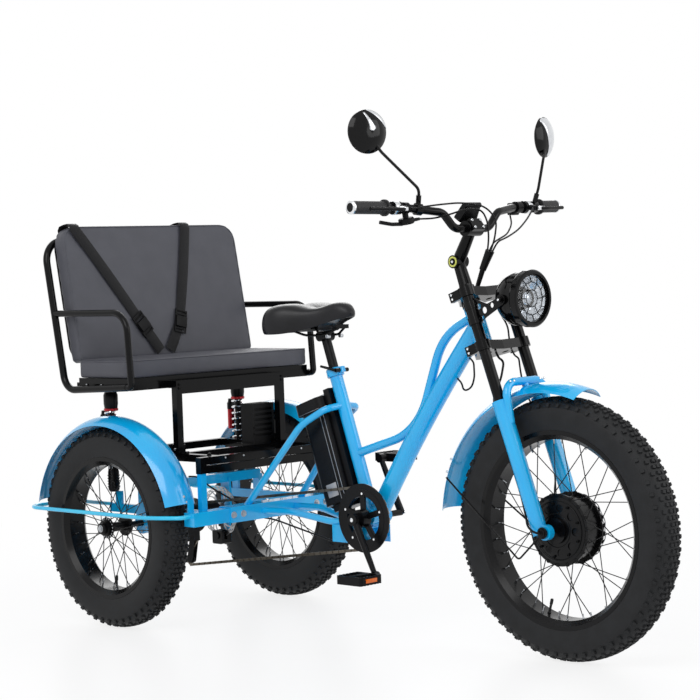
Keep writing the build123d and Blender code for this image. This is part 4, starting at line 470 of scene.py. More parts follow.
# ---- tyres -----------------------------------------------------------------------------------
class TyreSizes(bpy.types.PropertyGroup):
    """Sizes of the moulded tread."""
    pitch: length("Lug pitch", "Distance from one row of lugs to the next but one", 17.0)
    lug_high: length("Lug height", "How far a lug stands from the casing", 5.0)
    lug_along: length("Lug length", "Length of a lug round the tyre", 10.0)
    lug_across: length("Lug width", "Width of a lug across the tread", 12.0)


# each tyre's body and the radius of its bead
TYRES = {
    "front_tyre": ("front_wheel", 253.5 * MM),
    "rear_tyre_right": ("rear_wheel_right", 203.0 * MM),
    "rear_tyre_left": ("rear_wheel_left", 203.0 * MM),
}
BEAD_LIP = 3.0 * MM          # the casing starts this far outside its bead
BEAD_INSET = 9.0 * MM        # how far the bead is inside the tyre's full width
WALL_INSET = 2.5 * MM        # how far the sidewall is inside it
TREAD_INSET = 7.5 * MM       # how far the tread's edge is inside it
WALL_LEAN = 5.0 * MM         # how far the sidewall leans in towards the shoulder
SHOULDER_DROP = 21.0 * MM    # from the crown down to the shoulder
LUG_ROOT = 1.0 * MM          # how far a lug is sunk into the casing
LUG_SKEW = math.radians(14.0)
LUG_TAPER = 0.8
# alternate rows of lugs: each one's place as a share of the half width, and its share of the full width
LUG_ROWS = (((-0.13, 0.9), (0.13, 0.9), (-0.52, 1.0), (0.52, 1.0)),
            ((0.0, 1.0), (-0.27, 0.9), (0.27, 0.9), (-0.80, 1.0), (0.80, 1.0)))


def casing_profile(outer, bead, half):
    """The tyre's section as (across, radius), from one bead over the tread to the other."""
    seat, wall, edge = half - BEAD_INSET, half - WALL_INSET, half - TREAD_INSET
    foot, shoulder, middle = bead + BEAD_LIP, outer - SHOULDER_DROP, (outer + bead) / 2
    points = [(-seat, foot)]
    for k in range(1, 9):
        t = k / 8
        points.append((-seat - (wall - seat) * math.sin(t * math.pi / 2), foot + (middle - foot) * t))
    for k in range(1, 7):
        t = k / 6
        points.append((-wall + WALL_LEAN * (1 - math.cos(t * math.pi / 2)),
                       middle + (shoulder - middle) * math.sin(t * math.pi / 2)))
    for k in range(1, 8):
        t = k / 7
        points.append((-edge * (1 - t), shoulder + (outer - shoulder) * (1 - (1 - t) ** 2.0) ** 0.5))
    return points + [(-a, r) for a, r in reversed(points[:-1])]


def tread_radius(profile, across):
    """The casing's radius at a place across the tread, and how far it leans there."""
    crown = max(r for _, r in profile)
    tread = sorted(p for p in profile if p[1] > crown - SHOULDER_DROP - 1.5 * MM)
    for (a0, r0), (a1, r1) in zip(tread, tread[1:]):
        if a0 <= across <= a1 and a1 - a0 > 1e-6:
            t = (across - a0) / (a1 - a0)
            return r0 + (r1 - r0) * t, math.atan2(r1 - r0, a1 - a0)
    return tread[0][1], 0.0


class TRIKE_OT_tyres(bpy.types.Operator):
    """Moulds the three fat tyres with their staggered lugs"""
    bl_idname = "trike.tyres"
    bl_label = "Tyres"

    def execute(self, context):
        sizes = context.scene.trike_tyres
        for node, (body, bead) in TYRES.items():
            low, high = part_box(node)
            middle = centre(node)
            tip = (high[2] - low[2]) / 2
            half = (high[1] - low[1]) / 2
            build = bmesh.new()
            profile = casing_profile(tip - sizes.lug_high, bead, half)
            lathe(build, profile, middle, (0, 1, 0), steps=120)
            rows = 2 * round(math.pi * tip / sizes.pitch)
            for row in range(rows):
                spin = Matrix.Rotation(-math.tau * row / rows, 4, "Y")
                for share, width in LUG_ROWS[row % 2]:
                    across = share * half
                    radius, slope = tread_radius(profile, across)
                    seat = Matrix.Translation((0, across, radius - LUG_ROOT))
                    tilt = Matrix.Rotation(slope, 4, "X")
                    skew = Matrix.Rotation(LUG_SKEW * (1 if share > 0 else -1), 4, "Z")
                    place = Matrix.Translation(middle) @ spin @ seat @ tilt @ skew
                    lug = (sizes.lug_along, sizes.lug_across * width, sizes.lug_high + LUG_ROOT)
                    block(build, place, lug, LUG_TAPER, False)
            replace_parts(fit(node + "_moulded", build, "rubber", body), node)
        return {"FINISHED"}


# ---- upholstery ------------------------------------------------------------------------------
class UpholsterySizes(bpy.types.PropertyGroup):
    """Sizes of the bench cushions and their piping."""
    lean: bpy.props.FloatProperty(
        name="Back lean", description="How far the backrest leans from upright",
        default=math.radians(10.2), subtype="ANGLE")
    voxel: length("Foam mesh", "Size of the mesh cell that the foam is cut into", 8.0)
    swell: length("Swell", "The most that a cushion's face may rise", 7.0)
    piping: length("Piping radius", "Radius of the welt along a cushion's front edge", 2.0)


BACK_THICK = 52.0 * MM     # the backrest's thickness, square to its face
BACK_CORNER = 1.9 * MM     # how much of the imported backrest's corner its rounding takes away
SEAM_WIDE = 9.0 * MM       # how far in from its edge a cushion's face is held by its seam
SEAM_BACK = 6.0 * MM       # how much of a cushion's depth is held to its board
WELT_STEP = 12.0 * MM      # how far apart the welt's stitches are
WELT_RISE = 0.35           # how far the welt's middle stands off the pad, as a share of its radius
CLOTH_FRAMES = 18


def rounded_outline(half_x, low_y, high_y, top_round, foot_round, steps=8):
    """A rounded rectangle as a loop of points, with its own radius at the head and the foot."""
    corners = ((half_x, high_y, top_round, 0), (-half_x, high_y, top_round, 90),
               (-half_x, low_y, foot_round, 180), (half_x, low_y, foot_round, 270))
    points = []
    for x, y, radius, start in corners:
        cx = x - math.copysign(radius, x)
        cy = y - radius if y == high_y else y + radius
        for i in range(steps + 1):
            angle = math.radians(start + 90 * i / steps)
            points.append((cx + radius * math.cos(angle), cy + radius * math.sin(angle)))
    return points


def pad_shell(place, half_x, low_y, high_y, depth, top_round, foot_round, inset):
    """A closed pad: flat back at depth 0, boxed sides, and a front face set back by inset."""
    build = bmesh.new()
    sections = ((0.0, 4 * MM), (3 * MM, 0.0), (depth * 0.5, 1 * MM), (depth - 7 * MM, 0.0),
                (depth - 2.5 * MM, 1.5 * MM), (depth - inset, 7 * MM), (depth - inset, 16 * MM))
    rings = []
    for z, shrink in sections:
        loop = rounded_outline(half_x - shrink, low_y + shrink, high_y - shrink,
                               max(4 * MM, top_round - shrink), max(4 * MM, foot_round - shrink))
        rings.append([build.verts.new(place @ Vector((x, y, z))) for x, y in loop])
    skin(build, rings, capped=True)
    bmesh.ops.recalc_face_normals(build, faces=build.faces)
    return build


def applied(piece, name):
    """The piece's mesh with every modifier made real."""
    graph = bpy.context.evaluated_depsgraph_get()
    mesh = bpy.data.meshes.new_from_object(piece.evaluated_get(graph))
    mesh.name = name
    return mesh


def stuffed(name, build, place, depth, sizes, material, pinned):
    """Fills a sewn cover with foam: remeshed, swollen by cloth pressure, and held at its seams."""
    raw = from_bmesh(name + "_cover", build)
    cut = raw.modifiers.new("cut", "REMESH")
    cut.mode = "VOXEL"
    cut.voxel_size = sizes.voxel
    mesh = applied(raw, name)
    bpy.data.objects.remove(raw)
    piece = make_object(name, mesh, material)
    start = [v.co.copy() for v in mesh.vertices]
    held = piece.vertex_groups.new(name="seams")
    inverse = place.inverted()
    held.add([v.index for v in mesh.vertices if pinned(inverse @ v.co)], 1.0, "REPLACE")
    cloth = piece.modifiers.new("cloth", "CLOTH")
    cloth.settings.quality = 4
    cloth.settings.mass = 0.35
    cloth.settings.tension_stiffness = 12
    cloth.settings.compression_stiffness = 12
    cloth.settings.bending_stiffness = 2.5
    cloth.settings.use_pressure = True
    cloth.settings.uniform_pressure_force = 3.5
    cloth.settings.vertex_group_mass = "seams"
    cloth.settings.effector_weights.gravity = 0.0
    cloth.collision_settings.use_collision = False
    scene = bpy.context.scene
    for count in range(1, CLOTH_FRAMES + 1):
        scene.frame_set(count)
    swollen = applied(piece, name + "_swollen")
    scene.frame_set(1)
    piece.modifiers.clear()
    piece.vertex_groups.clear()
    for vertex, old, new in zip(mesh.vertices, start, swollen.vertices):
        move = new.co - old
        if move.length > sizes.swell:
            move = move * (sizes.swell / move.length)
        vertex.co = old + move
    bpy.data.meshes.remove(swollen)
    inverse = place.inverted()
    for vertex in mesh.vertices:
        local = inverse @ vertex.co
        local.z = min(max(local.z, 0.3 * MM), depth + 3 * MM)
        vertex.co = place @ local
    finer = piece.modifiers.new("finer", "SUBSURF")
    finer.levels = finer.render_levels = 1
    smooth = applied(piece, name)
    piece.modifiers.clear()
    piece.data = smooth
    smooth.shade_smooth()
    return piece


def piping(name, pad, place, loop, z, radius, material):
    """The welt sewn round a cushion's front edge, laid on the stuffed pad's own surface."""
    skin = BVHTree.FromPolygons([v.co for v in pad.data.vertices], [p.vertices for p in pad.data.polygons])
    points = []
    for (x, y), (next_x, next_y) in zip(loop, loop[1:] + loop[:1]):
        count = max(1, round(math.hypot(next_x - x, next_y - y) / WELT_STEP))
        for k in range(count):
            share = k / count
            seam = place @ Vector((x + (next_x - x) * share, y + (next_y - y) * share, z))
            near, normal, _, _ = skin.find_nearest(seam)
            points.append(near + normal * radius * WELT_RISE)
    smooth = [(points[i - 2] + points[i - 1] + points[i] + points[(i + 1) % len(points)]
               + points[(i + 2) % len(points)]) / 5 for i in range(len(points))]
    build = bmesh.new()
    tube_along(build, smooth, radius, steps=8, closed=True)
    return from_bmesh(name, build, material)


def lean_frame(sizes):
    """The backrest's own frame: x to the left, y up the lean, z forward, origin at its back lower edge."""
    low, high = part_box("back_cushion")
    cos, sin = math.cos(sizes.lean), math.sin(sizes.lean)
    back = Vector((high[0] + BACK_CORNER, 0, low[2] + BACK_THICK * sin)) - Vector((cos, 0, sin)) * BACK_THICK
    turn = Matrix(((0, -sin, cos), (1, 0, 0), (0, cos, sin))).to_4x4()
    return Matrix.Translation(back) @ turn


def seam_of(half, low_y, high_y, depth):
    """Tells which of a pad's points its seams and its board hold still."""
    def held(p):
        inside = max(abs(p.x) - (half - SEAM_WIDE), p.y - (high_y - SEAM_WIDE), low_y + SEAM_WIDE - p.y)
        return p.z < SEAM_BACK or (inside > 0 and p.z > depth - SEAM_WIDE)
    return held


class TRIKE_OT_cushions(bpy.types.Operator):
    """Stuffs the bench's seat and back cushions and sews on their piping"""
    bl_idname = "trike.cushions"
    bl_label = "Bench cushions"

    def execute(self, context):
        sizes = context.scene.trike_upholstery
        low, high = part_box("back_cushion")
        tall = (high[2] - low[2] - BACK_THICK * math.sin(sizes.lean)) / math.cos(sizes.lean)
        back = (lean_frame(sizes), (high[1] - low[1]) / 2, 0.0, tall, BACK_THICK)
        low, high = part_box("seat_cushion")
        middle = centre("seat_cushion")
        level = Matrix.Translation((middle.x, middle.y, low[2])) @ Matrix(((0, 1, 0), (-1, 0, 0),
                                                                        (0, 0, 1))).to_4x4()
        deep = (high[0] - low[0]) / 2
        seat = (level, (high[1] - low[1]) / 2, -deep, deep, high[2] - low[2])
        # a pad's head and foot corners and the inset of its face; then the welt's inset, corners and depth
        for name, pad, (head, foot, inset), (edge, welt_head, welt_foot, welt_in) in (
                ("back", back, (55, 14, 3), (2.5, 52, 12, 3.0)),
                ("seat", seat, (16, 16, 4), (2.0, 14, 14, 3.5))):
            place, half, low_y, high_y, depth = pad
            build = pad_shell(place, half, low_y, high_y, depth, head * MM, foot * MM, inset * MM)
            held = seam_of(half, low_y, high_y, depth)
            piece = stuffed(name + "_pad", build, place, depth, sizes, FINISHES["vinyl"], held)
            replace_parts(settle(piece, "frame"), name + "_cushion")
            loop = rounded_outline(half - edge * MM, low_y + edge * MM, high_y - edge * MM, welt_head * MM,
                                   welt_foot * MM)
            welt = piping(name + "_pad_welt", piece, place, loop, depth - welt_in * MM, sizes.piping,
                          FINISHES["vinyl"])
            settle(welt, "frame")
        return {"FINISHED"}


# ---- belts -----------------------------------------------------------------------------------
class BeltSizes(bpy.types.PropertyGroup):
    """Sizes of the seat belts' webbing and buckles."""
    width: length("Webbing width", "Width of the belt", 38.0)
    thick: length("Webbing thickness", "Thickness of the woven belt", 1.8)
    buckle: length("Buckle length", "Length of the closed buckle", 74.0)


# the webbing's section: across and through, as shares of its width and thickness
WEB_SECTION = ((-0.5, 0.0), (-0.47, 0.5), (0.0, 0.62), (0.47, 0.5), (0.5, 0.0), (0.47, -0.5), (-0.47, -0.5))


def ribbon(build, path, width, thick):
    """A flat belt along a path of (point, normal) pairs."""
    rings = []
    count = len(path)
    for i, (point, normal) in enumerate(path):
        tangent = (path[min(i + 1, count - 1)][0] - path[max(i - 1, 0)][0]).normalized()
        across = normal.cross(tangent).normalized()
        face = tangent.cross(across).normalized()
        rings.append([build.verts.new(point + across * (a * width) + face * (b * thick))
                      for a, b in WEB_SECTION])
    skin(build, rings, capped=True)


def rounded_block(build, place, size, edge):
    """A block about its middle with rounded edges."""
    made = bmesh.ops.create_cube(build, size=1.0, matrix=place @ Matrix.Diagonal((*size, 1.0)))
    edges = list({e for v in made["verts"] for e in v.link_edges})
    bmesh.ops.bevel(build, geom=edges, offset=edge, segments=2, profile=0.6, affect="EDGES")


# each belt's top, buckle and foot on the backrest: millimetres to the left and up the lean
BELT_ROUTES = {
    "right": ((-306.0, 404.0), (-100.0, 101.0), (-40.0, 14.0)),
    "left": ((136.0, 404.0), (55.0, 103.0), (-2.0, 14.0)),
}
# from the board over the pad's head: millimetres up the lean and forward, and the way the belt faces
BELT_HEAD = ((401.0, -3.2, 180), (412.0, -3.2, 165), (421.5, 6.0, 100), (423.0, 26.0, 90), (422.0, 44.0, 70),
             (415.0, 54.0, 30))
BELT_OFF = 4.2 * MM          # how far the webbing's middle is off the pad
BUCKLE_OFF = 3.2 * MM        # how far the buckle's middle is off the webbing's
BUCKLE_GRIP = 16.0           # how far the webbing reaches into the buckle
BUCKLE_MORE = 8.0 * MM       # how much wider than the webbing a buckle is
BUCKLE_BARS = (-34.0, -22.0, 24.0, 35.0)


def belt_path(place, start, end, lift, sag, steps=18):
    """A belt lying over the pad from one point to another, a little slack at its middle."""
    path = []
    normal = (place.to_3x3() @ Vector((0, 0, 1))).normalized()
    for i in range(steps + 1):
        t = i / steps
        x = start[0] + (end[0] - start[0]) * t
        y = start[1] + (end[1] - start[1]) * t
        z = lift + sag * math.sin(math.pi * t)
        path.append((place @ Vector((x * MM, y * MM, z)), normal))
    return path


class TRIKE_OT_belts(bpy.types.Operator):
    """Lays the two seat belts over the back pad and closes their buckles"""
    bl_idname = "trike.belts"
    bl_label = "Seat belts"

    def execute(self, context):
        sizes = context.scene.trike_belts
        place = lean_frame(context.scene.trike_upholstery)
        turn = place.to_3x3()
        front = BACK_THICK + BELT_OFF
        wide = sizes.width + BUCKLE_MORE
        reach = sizes.buckle / 2 / MM - BUCKLE_GRIP
        webs = []
        for name, (top, middle, low) in BELT_ROUTES.items():
            top, middle, low = Vector(top), Vector(middle), Vector(low)
            heading, way = (middle - top).normalized(), (low - middle).normalized()
            over = []
            for y, z, angle in BELT_HEAD:
                normal = turn @ Vector((0, math.sin(math.radians(angle)), math.cos(math.radians(angle))))
                over.append((place @ (Vector((top.x, y, z)) * MM), normal))
            upper = over + belt_path(place, top, middle - heading * reach, front, 3.5 * MM)
            lower = belt_path(place, middle + way * reach, low, front, 2.0 * MM, 8)
            for label, path in (("upper", upper), ("lower", lower)):
                build = bmesh.new()
                ribbon(build, path, sizes.width, sizes.thick)
                webs.append(fit("belt_" + label + "_" + name, build, "webbing", "frame", smooth=50))
            angle = math.atan2(heading.y, heading.x) - math.pi / 2
            seat = place @ Matrix.Translation((middle.x * MM, middle.y * MM, front + BUCKLE_OFF))
            seat = seat @ Matrix.Rotation(angle, 4, "Z")
            # each part's place, size and rounding
            parts = [((0, 2 * MM, 3 * MM), (wide - 4 * MM, 34 * MM, 10 * MM), 2.2 * MM)]
            parts += [((0, y * MM, 1 * MM), (wide, 4.5 * MM, 4 * MM), 1.2 * MM) for y in BUCKLE_BARS]
            for side in (-1, 1):
                parts.append(((side * (wide / 2 - 2.2 * MM), 0, 0.5 * MM),
                              (4.4 * MM, sizes.buckle, 5 * MM), 1.2 * MM))
                parts.append(((side * 17 * MM, -8 * MM, 2.5 * MM), (7 * MM, 18 * MM, 7 * MM), 1.5 * MM))
            build = bmesh.new()
            for spot, size, edge in parts:
                rounded_block(build, seat @ Matrix.Translation(spot), size, edge)
            buckle = fit("belt_buckle_" + name, build, "plastic", "frame")
            if name == "right":
                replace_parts(buckle, "belt_buckles")
        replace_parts(webs[0], "seat_belts")
        return {"FINISHED"}


# ---- places in the frame ---------------------------------------------------------------------
REAR_AXLE = centre("rear_tyre_right")
FRONT_HUB = centre("front_tyre")
RAKE = math.radians(20.0)             # the steering axis leans back by this
FORK_OFFSET = 84.0                    # and passes this far behind the front axle
AXIS_UP = Vector((-math.sin(RAKE), 0.0, math.cos(RAKE)))
AXIS_FORWARD = Vector((math.cos(RAKE), 0.0, math.sin(RAKE)))
SEAT_ANGLE = math.radians(18.3)       # the seat tube leans back by this
SEAT_FOOT = (730.0, 350.0)            # its foot, ahead of the rear axle and up
SEAT_UP = Vector((-math.sin(SEAT_ANGLE), 0.0, math.cos(SEAT_ANGLE)))
SEAT_BACK = Vector((-math.cos(SEAT_ANGLE), 0.0, -math.sin(SEAT_ANGLE)))
FORWARD = Vector((1.0, 0.0, 0.0))
LEFT = Vector((0.0, 1.0, 0.0))
UP = Vector((0.0, 0.0, 1.0))


def at(x, y, z):
    """A place in millimetres ahead of the rear axle, to the rider's left, and above the ground."""
    return Vector((REAR_AXLE.x + x * MM, y * MM, z * MM))


def steer(s, forward=0.0, y=0.0):
    """A place s millimetres up the steering axis from the hub's level, forward of it and to the left."""
    return FRONT_HUB + (AXIS_UP * s + AXIS_FORWARD * (forward - FORK_OFFSET) + LEFT * y) * MM


def seat_line(along, behind=0.0, y=0.0):
    """A place up the seat tube's line from its foot, behind it and to the left."""
    return at(SEAT_FOOT[0], y, SEAT_FOOT[1]) + (SEAT_UP * along + SEAT_BACK * behind) * MM


# ---- fasteners -------------------------------------------------------------------------------
def socket_screw(build, seat, axis, radius, high=1.0):
    """A cap screw with a socket in its head, standing on its seat; sizes in millimetres."""
    r, h = radius * MM, radius * high * MM
    lathe(build, [(-h, 0), (-h, r * 0.9), (0, r), (h * 0.82, r), (h, r * 0.84), (h, r * 0.52),
                  (h * 0.35, r * 0.5), (h * 0.35, 0)], seat, axis, steps=12)


def hex_nut(build, seat, axis, radius, high=0.8):
    """A six-sided nut with the end of its bolt, on a thin washer."""
    r, h = radius * MM, radius * high * MM
    lathe(build, [(-h, 0), (-h, r * 1.2), (0.12 * h, r * 1.25), (0.2 * h, r * 1.2), (0.2 * h, 0)], seat, axis,
          steps=20)
    lathe(build, [(0, 0), (0, r), (h * 0.86, r), (h, r * 0.86), (h, r * 0.55), (h * 1.3, r * 0.52),
                  (h * 1.4, r * 0.4), (h * 1.4, 0)], seat, axis, steps=6)


def dome_rivet(build, seat, axis, radius):
    """A low round head."""
    r = radius * MM
    lathe(build, [(-r * 0.4, 0), (-r * 0.4, r * 0.9), (0, r), (r * 0.3, r * 0.88), (r * 0.5, r * 0.6),
                  (r * 0.58, 0)], seat, axis, steps=12)


def polar(middle, radius, angle, y):
    """A place round an axle: radius and angle in the wheel's own plane, y to the left."""
    return Vector((middle.x, y * MM, middle.z)) + radial(angle) * radius * MM


def radial(angle):
    """The direction away from an axle at an angle."""
    return Vector((math.cos(angle), 0.0, math.sin(angle)))


def fasten(build, table, side):
    """Fits one side's fasteners from a table of kind, direction, radius and places."""
    for kind, (forward, outward, up), radius, places in table:
        for x, y, z in places:
            kind(build, at(x, side * y, z), Vector((forward, side * outward, up)), radius)


# directions are forward, outward and up; places are ahead of the rear axle, outward and up, in millimetres
FRAME_BRIGHT = (
    (hex_nut, (1, 0, 0), 8.0, ((351.0, 188.0, 338.0), (351.0, 150.0, 338.0))),
    (hex_nut, (0, -1, 0), 6.0, ((-107.0, 244.0, 404.0),)),
    (socket_screw, (0, 1, 0), 4.2, ((142.0, 223.5, 525.0),)),
    (dome_rivet, (0, 1, 0), 3.0, ((-90.0, 363.7, 722.0), (-20.0, 363.7, 722.0), (60.0, 363.7, 722.0))),
    (dome_rivet, (1, 0, 0), 3.0, ((326.0, 118.0, 505.0), (326.0, 190.0, 505.0))),
)
FRAME_DARK = (
    (hex_nut, (-1, 0, 0), 8.0, ((301.0, 188.0, 338.0), (301.0, 150.0, 338.0))),
    (hex_nut, (0, 0, 1), 6.0, ((180.0, 212.0, 512.0), (280.0, 212.0, 512.0))),
    (hex_nut, (0, 1, 0), 6.0, ((-107.0, 284.0, 713.0),)),
    (socket_screw, (0, 0, 1), 5.0, ((159.0, 209.0, 512.0), (125.0, 209.0, 512.0))),
    (socket_screw, (1, 0, 0), 3.6, ((153.0, 209.0, 705.0), (153.0, 209.0, 716.0))),
)
LEFT_DARK = ((socket_screw, (1, 0, 0), 2.6, ((116.0, 122.0, 540.0), (116.0, 122.0, 560.0))),)
HOOP_FOOT = (142.0, 209.0, 512.0)     # where the hoop's foot stands on the bench
TUBE_BOLT = (602.0, 26.4, 850.4)      # the bolt heads either side of the top tube
CASE_AXLE_Z = 299.0                   # height of the drive case's middle
FENDER_R = 330.6                      # the rear fender's skin


class TRIKE_OT_frame_screws(bpy.types.Operator):
    """Fits the bolts, rivets and nuts that show on the frame"""
    bl_idname = "trike.frame_screws"
    bl_label = "Frame fasteners"

    def execute(self, context):
        bright, dark = bmesh.new(), bmesh.new()
        for side in SIDES.values():
            fasten(bright, FRAME_BRIGHT, side)
            fasten(dark, FRAME_DARK, side)
            for degrees, y in ((18.8, 344.0), (15.9, 338.0)):
                angle = math.radians(degrees)
                dome_rivet(bright, polar(REAR_AXLE, FENDER_R, angle, side * y), radial(angle), 4.5)
            for index in range(6):
                seat = polar(REAR_AXLE, 25.0, math.radians(60.0 * index + 30.0), side * 244.0)
                socket_screw(bright, seat, LEFT * side, 3.4)
            foot = Matrix.Translation(at(HOOP_FOOT[0], side * HOOP_FOOT[1], HOOP_FOOT[2]))
            block(dark, foot, (46 * MM, 40 * MM, 5 * MM))
            block(dark, foot, (28 * MM, 28 * MM, 26 * MM))
            socket_screw(bright, at(TUBE_BOLT[0], side * TUBE_BOLT[1], TUBE_BOLT[2]), LEFT * side, 6.0)
        fasten(dark, LEFT_DARK, 1.0)
        for index in range(5):
            angle = math.radians(72.0 * index + 18.0)
            socket_screw(dark, polar(at(0.0, 0.0, CASE_AXLE_Z), 30.0, angle, 50.2), LEFT, 3.2)
        fit("frame_bright_screws", bright, "steel", "frame")
        fit("frame_black_screws", dark, "tube", "frame")
        return {"FINISHED"}


STEM_PIVOT = 781.0                    # up the steering axis
BAR_CLAMP = (51.0, 0.0, 87.8)         # from the stem's pivot to the handlebar's clamp
BAR_TILT = math.radians(30.0)         # the clamp's face leans back by this
CROWNS = (520.0, 672.0)               # the fork crowns, up the steering axis
CROWN_PINCH = (22.0, 95.3)            # the crowns' pinch bolts: forward of the axis, outward
LAMP_PIVOT = (1298.0, 84.0, 949.0)    # the lamp bracket's bolt
LAMP_STAY = (80.0, 82.0)              # the lamp stays' screws: forward of the axis, outward
ARCH_RIVETS = (405.0, 107.0, 62.0)    # up and forward of the axis, outward
SKIRT_MIDDLE = (1407.0, 0.0, 347.0)   # the front fender's own middle
SKIRT_R, SKIRT_Y = 368.0, 51.5
FORK_END_Y = 101.5


class TRIKE_OT_steering_screws(bpy.types.Operator):
    """Fits the bolts, caps and the yellow pivot rings that show on the steering"""
    bl_idname = "trike.steering_screws"
    bl_label = "Steering fasteners"

    def execute(self, context):
        bright, dark, ring = bmesh.new(), bmesh.new(), bmesh.new()
        pivot = steer(STEM_PIVOT)
        clamp = pivot + Vector(BAR_CLAMP) * MM
        ahead = Vector((math.cos(BAR_TILT), 0, math.sin(BAR_TILT)))
        across = Vector((-math.sin(BAR_TILT), 0, math.cos(BAR_TILT)))
        for side in SIDES.values():
            out = LEFT * side
            seat = pivot + out * 23.0 * MM
            turned(ring, [(-1, 9.5), (-1, 14.5), (1.2, 14.5), (1.8, 13.5), (1.8, 10.5), (1.2, 9.5)],
                   seat, out, steps=32, close=True)
            socket_screw(dark, seat, out, 8.5, 0.45)
            socket_screw(bright, seat, out, 4.0, 1.1)
            for rise in (-11.0, 11.0):
                seat = clamp + (ahead * 23.8 + across * rise + out * 17) * MM
                socket_screw(bright, seat, ahead, 4.2)
            for s in CROWNS:
                for shift in (-6.0, 6.0):
                    socket_screw(bright, steer(s + shift, CROWN_PINCH[0], side * CROWN_PINCH[1]), out, 3.4)
            x, y, z = LAMP_PIVOT
            socket_screw(dark, at(x, side * y, z), out, 7.0, 0.7)
            socket_screw(bright, at(x, side * (y + 4.4), z), out, 3.2, 0.8)
            for s in (590.0, 632.0):
                socket_screw(dark, steer(s, LAMP_STAY[0], side * LAMP_STAY[1]), AXIS_FORWARD, 3.6)
            s, forward, y = ARCH_RIVETS
            for shift in (-8.0, 8.0):
                dome_rivet(bright, steer(s, forward, side * (y - shift)), AXIS_FORWARD, 3.6)
            for degrees in (152.0, 158.0):
                away = radial(math.radians(degrees))
                skirt = at(*SKIRT_MIDDLE) + (away * SKIRT_R + out * SKIRT_Y) * MM
                dome_rivet(bright, skirt, (away * 0.5 + out).normalized(), 4.0)
            hex_nut(dark, polar(FRONT_HUB, 0.0, 0.0, side * FORK_END_Y), out, 12.5, 0.35)
            turned(bright, [(0, 3.2), (0, 6.6), (3.0, 6.6), (3.6, 5.6), (3.6, 3.2)],
                   polar(FRONT_HUB, 0.0, 0.0, side * (FORK_END_Y + 1.0)), out, steps=16, close=True)
        fit("steering_bright_screws", bright, "chrome", "steering")
        fit("steering_black_screws", dark, "tube", "steering")
        fit("stem_pivot_rings", ring, "yellow", "steering")
        return {"FINISHED"}


# ---- wheels' small pieces --------------------------------------------------------------------
# each wheel's body, tyre, rim well's radius and the way its valve points
WHEELS = {
    "front": ("front_wheel", "front_tyre", 236.5, math.radians(253.7)),
    "rear_right": ("rear_wheel_right", "rear_tyre_right", 186.0, math.radians(267.6)),
    "rear_left": ("rear_wheel_left", "rear_tyre_left", 186.0, math.radians(118.0)),
}
SPOKES = 36


class TRIKE_OT_wheel_pieces(bpy.types.Operator):
    """Adds the tyre valves, the spoke nipples and the hub's screws"""
    bl_idname = "trike.wheel_pieces"
    bl_label = "Valves, nipples and hub screws"

    def execute(self, context):
        for name, (body, tyre, well, turn) in WHEELS.items():
            middle = centre(tyre)
            y = middle.y / MM
            valve = bmesh.new()
            foot = polar(middle, well, turn, y)
            turned(valve, [(0, 0), (0, 5), (3, 5), (4, 3.6), (24, 3.2), (25, 4.3), (38, 4.3), (40, 3.0),
                           (40, 0)], foot, -radial(turn), steps=14)
            fit("valve_" + name, valve, "rubber", body)
            nipples = bmesh.new()
            for index in range(SPOKES):
                angle = math.tau * index / SPOKES
                side = -1 if index % 2 else 1
                seat = polar(middle, well + 1.5, angle, y + side * 8.0)
                turned(nipples, [(0, 0), (0, 2.9), (2, 2.9), (4, 2.2), (14, 2.0), (15, 0)],
                       seat, -radial(angle), steps=8)
            fit("nipples_" + name, nipples, "steel", body)
        self.motor_screws()
        self.hub_rims()
        return {"FINISHED"}

    def motor_screws(self):
        """Cover screws, spoke heads on both flanges and the ring pressed into the motor's cover."""
        heads, bright = bmesh.new(), bmesh.new()
        for side in SIDES.values():
            out = LEFT * side
            for index in range(SPOKES // 2):
                angle = math.tau * (index + 0.25) / (SPOKES // 2)
                seat = polar(FRONT_HUB, 91.5, angle, side * 32.0)
                turned(heads, [(-5, 0), (-5, 5.6), (0.8, 5.6), (1.8, 4.6), (1.8, 0)], seat, out, steps=14)
            for index in range(9):
                angle = math.radians(40.0 * index + 20.0)
                socket_screw(heads, polar(FRONT_HUB, 71.0, angle, side * 40.0), out, 3.6)
            for radius, height in ((31.0, 48.2), (44.0, 42.3), (78.0, 38.2)):
                turned(heads, [(0, radius - 1.1), (0.9, radius), (0, radius + 1.1)],
                       polar(FRONT_HUB, 0.0, 0.0, side * height), out, steps=64, close=True)
        for index in range(6):
            angle = math.radians(60.0 * index)
            socket_screw(bright, polar(FRONT_HUB, 22.0, angle, 52.0), LEFT, 3.6)
        fit("motor_screws", heads, "plastic", "front_wheel")
        fit("disc_screws", bright, "steel", "front_wheel")

    def hub_rims(self):
        """Spoke heads on the rear hubs' flanges, and the nuts on the half axles."""
        for name, side in SIDES.items():
            heads = bmesh.new()
            y = side * centre("rear_tyre_left").y / MM
            for out in (-1, 1):
                for index in range(SPOKES // 2):
                    angle = math.tau * (index + 0.25) / (SPOKES // 2)
                    dome_rivet(heads, polar(REAR_AXLE, 27.5, angle, y + out * 36.0), LEFT * out, 2.6)
            hex_nut(heads, polar(REAR_AXLE, 0.0, 0.0, y + side * 59.0), LEFT * side, 8.5, 0.5)
            fit("hub_heads_" + name, heads, "steel", "rear_wheel_" + name)


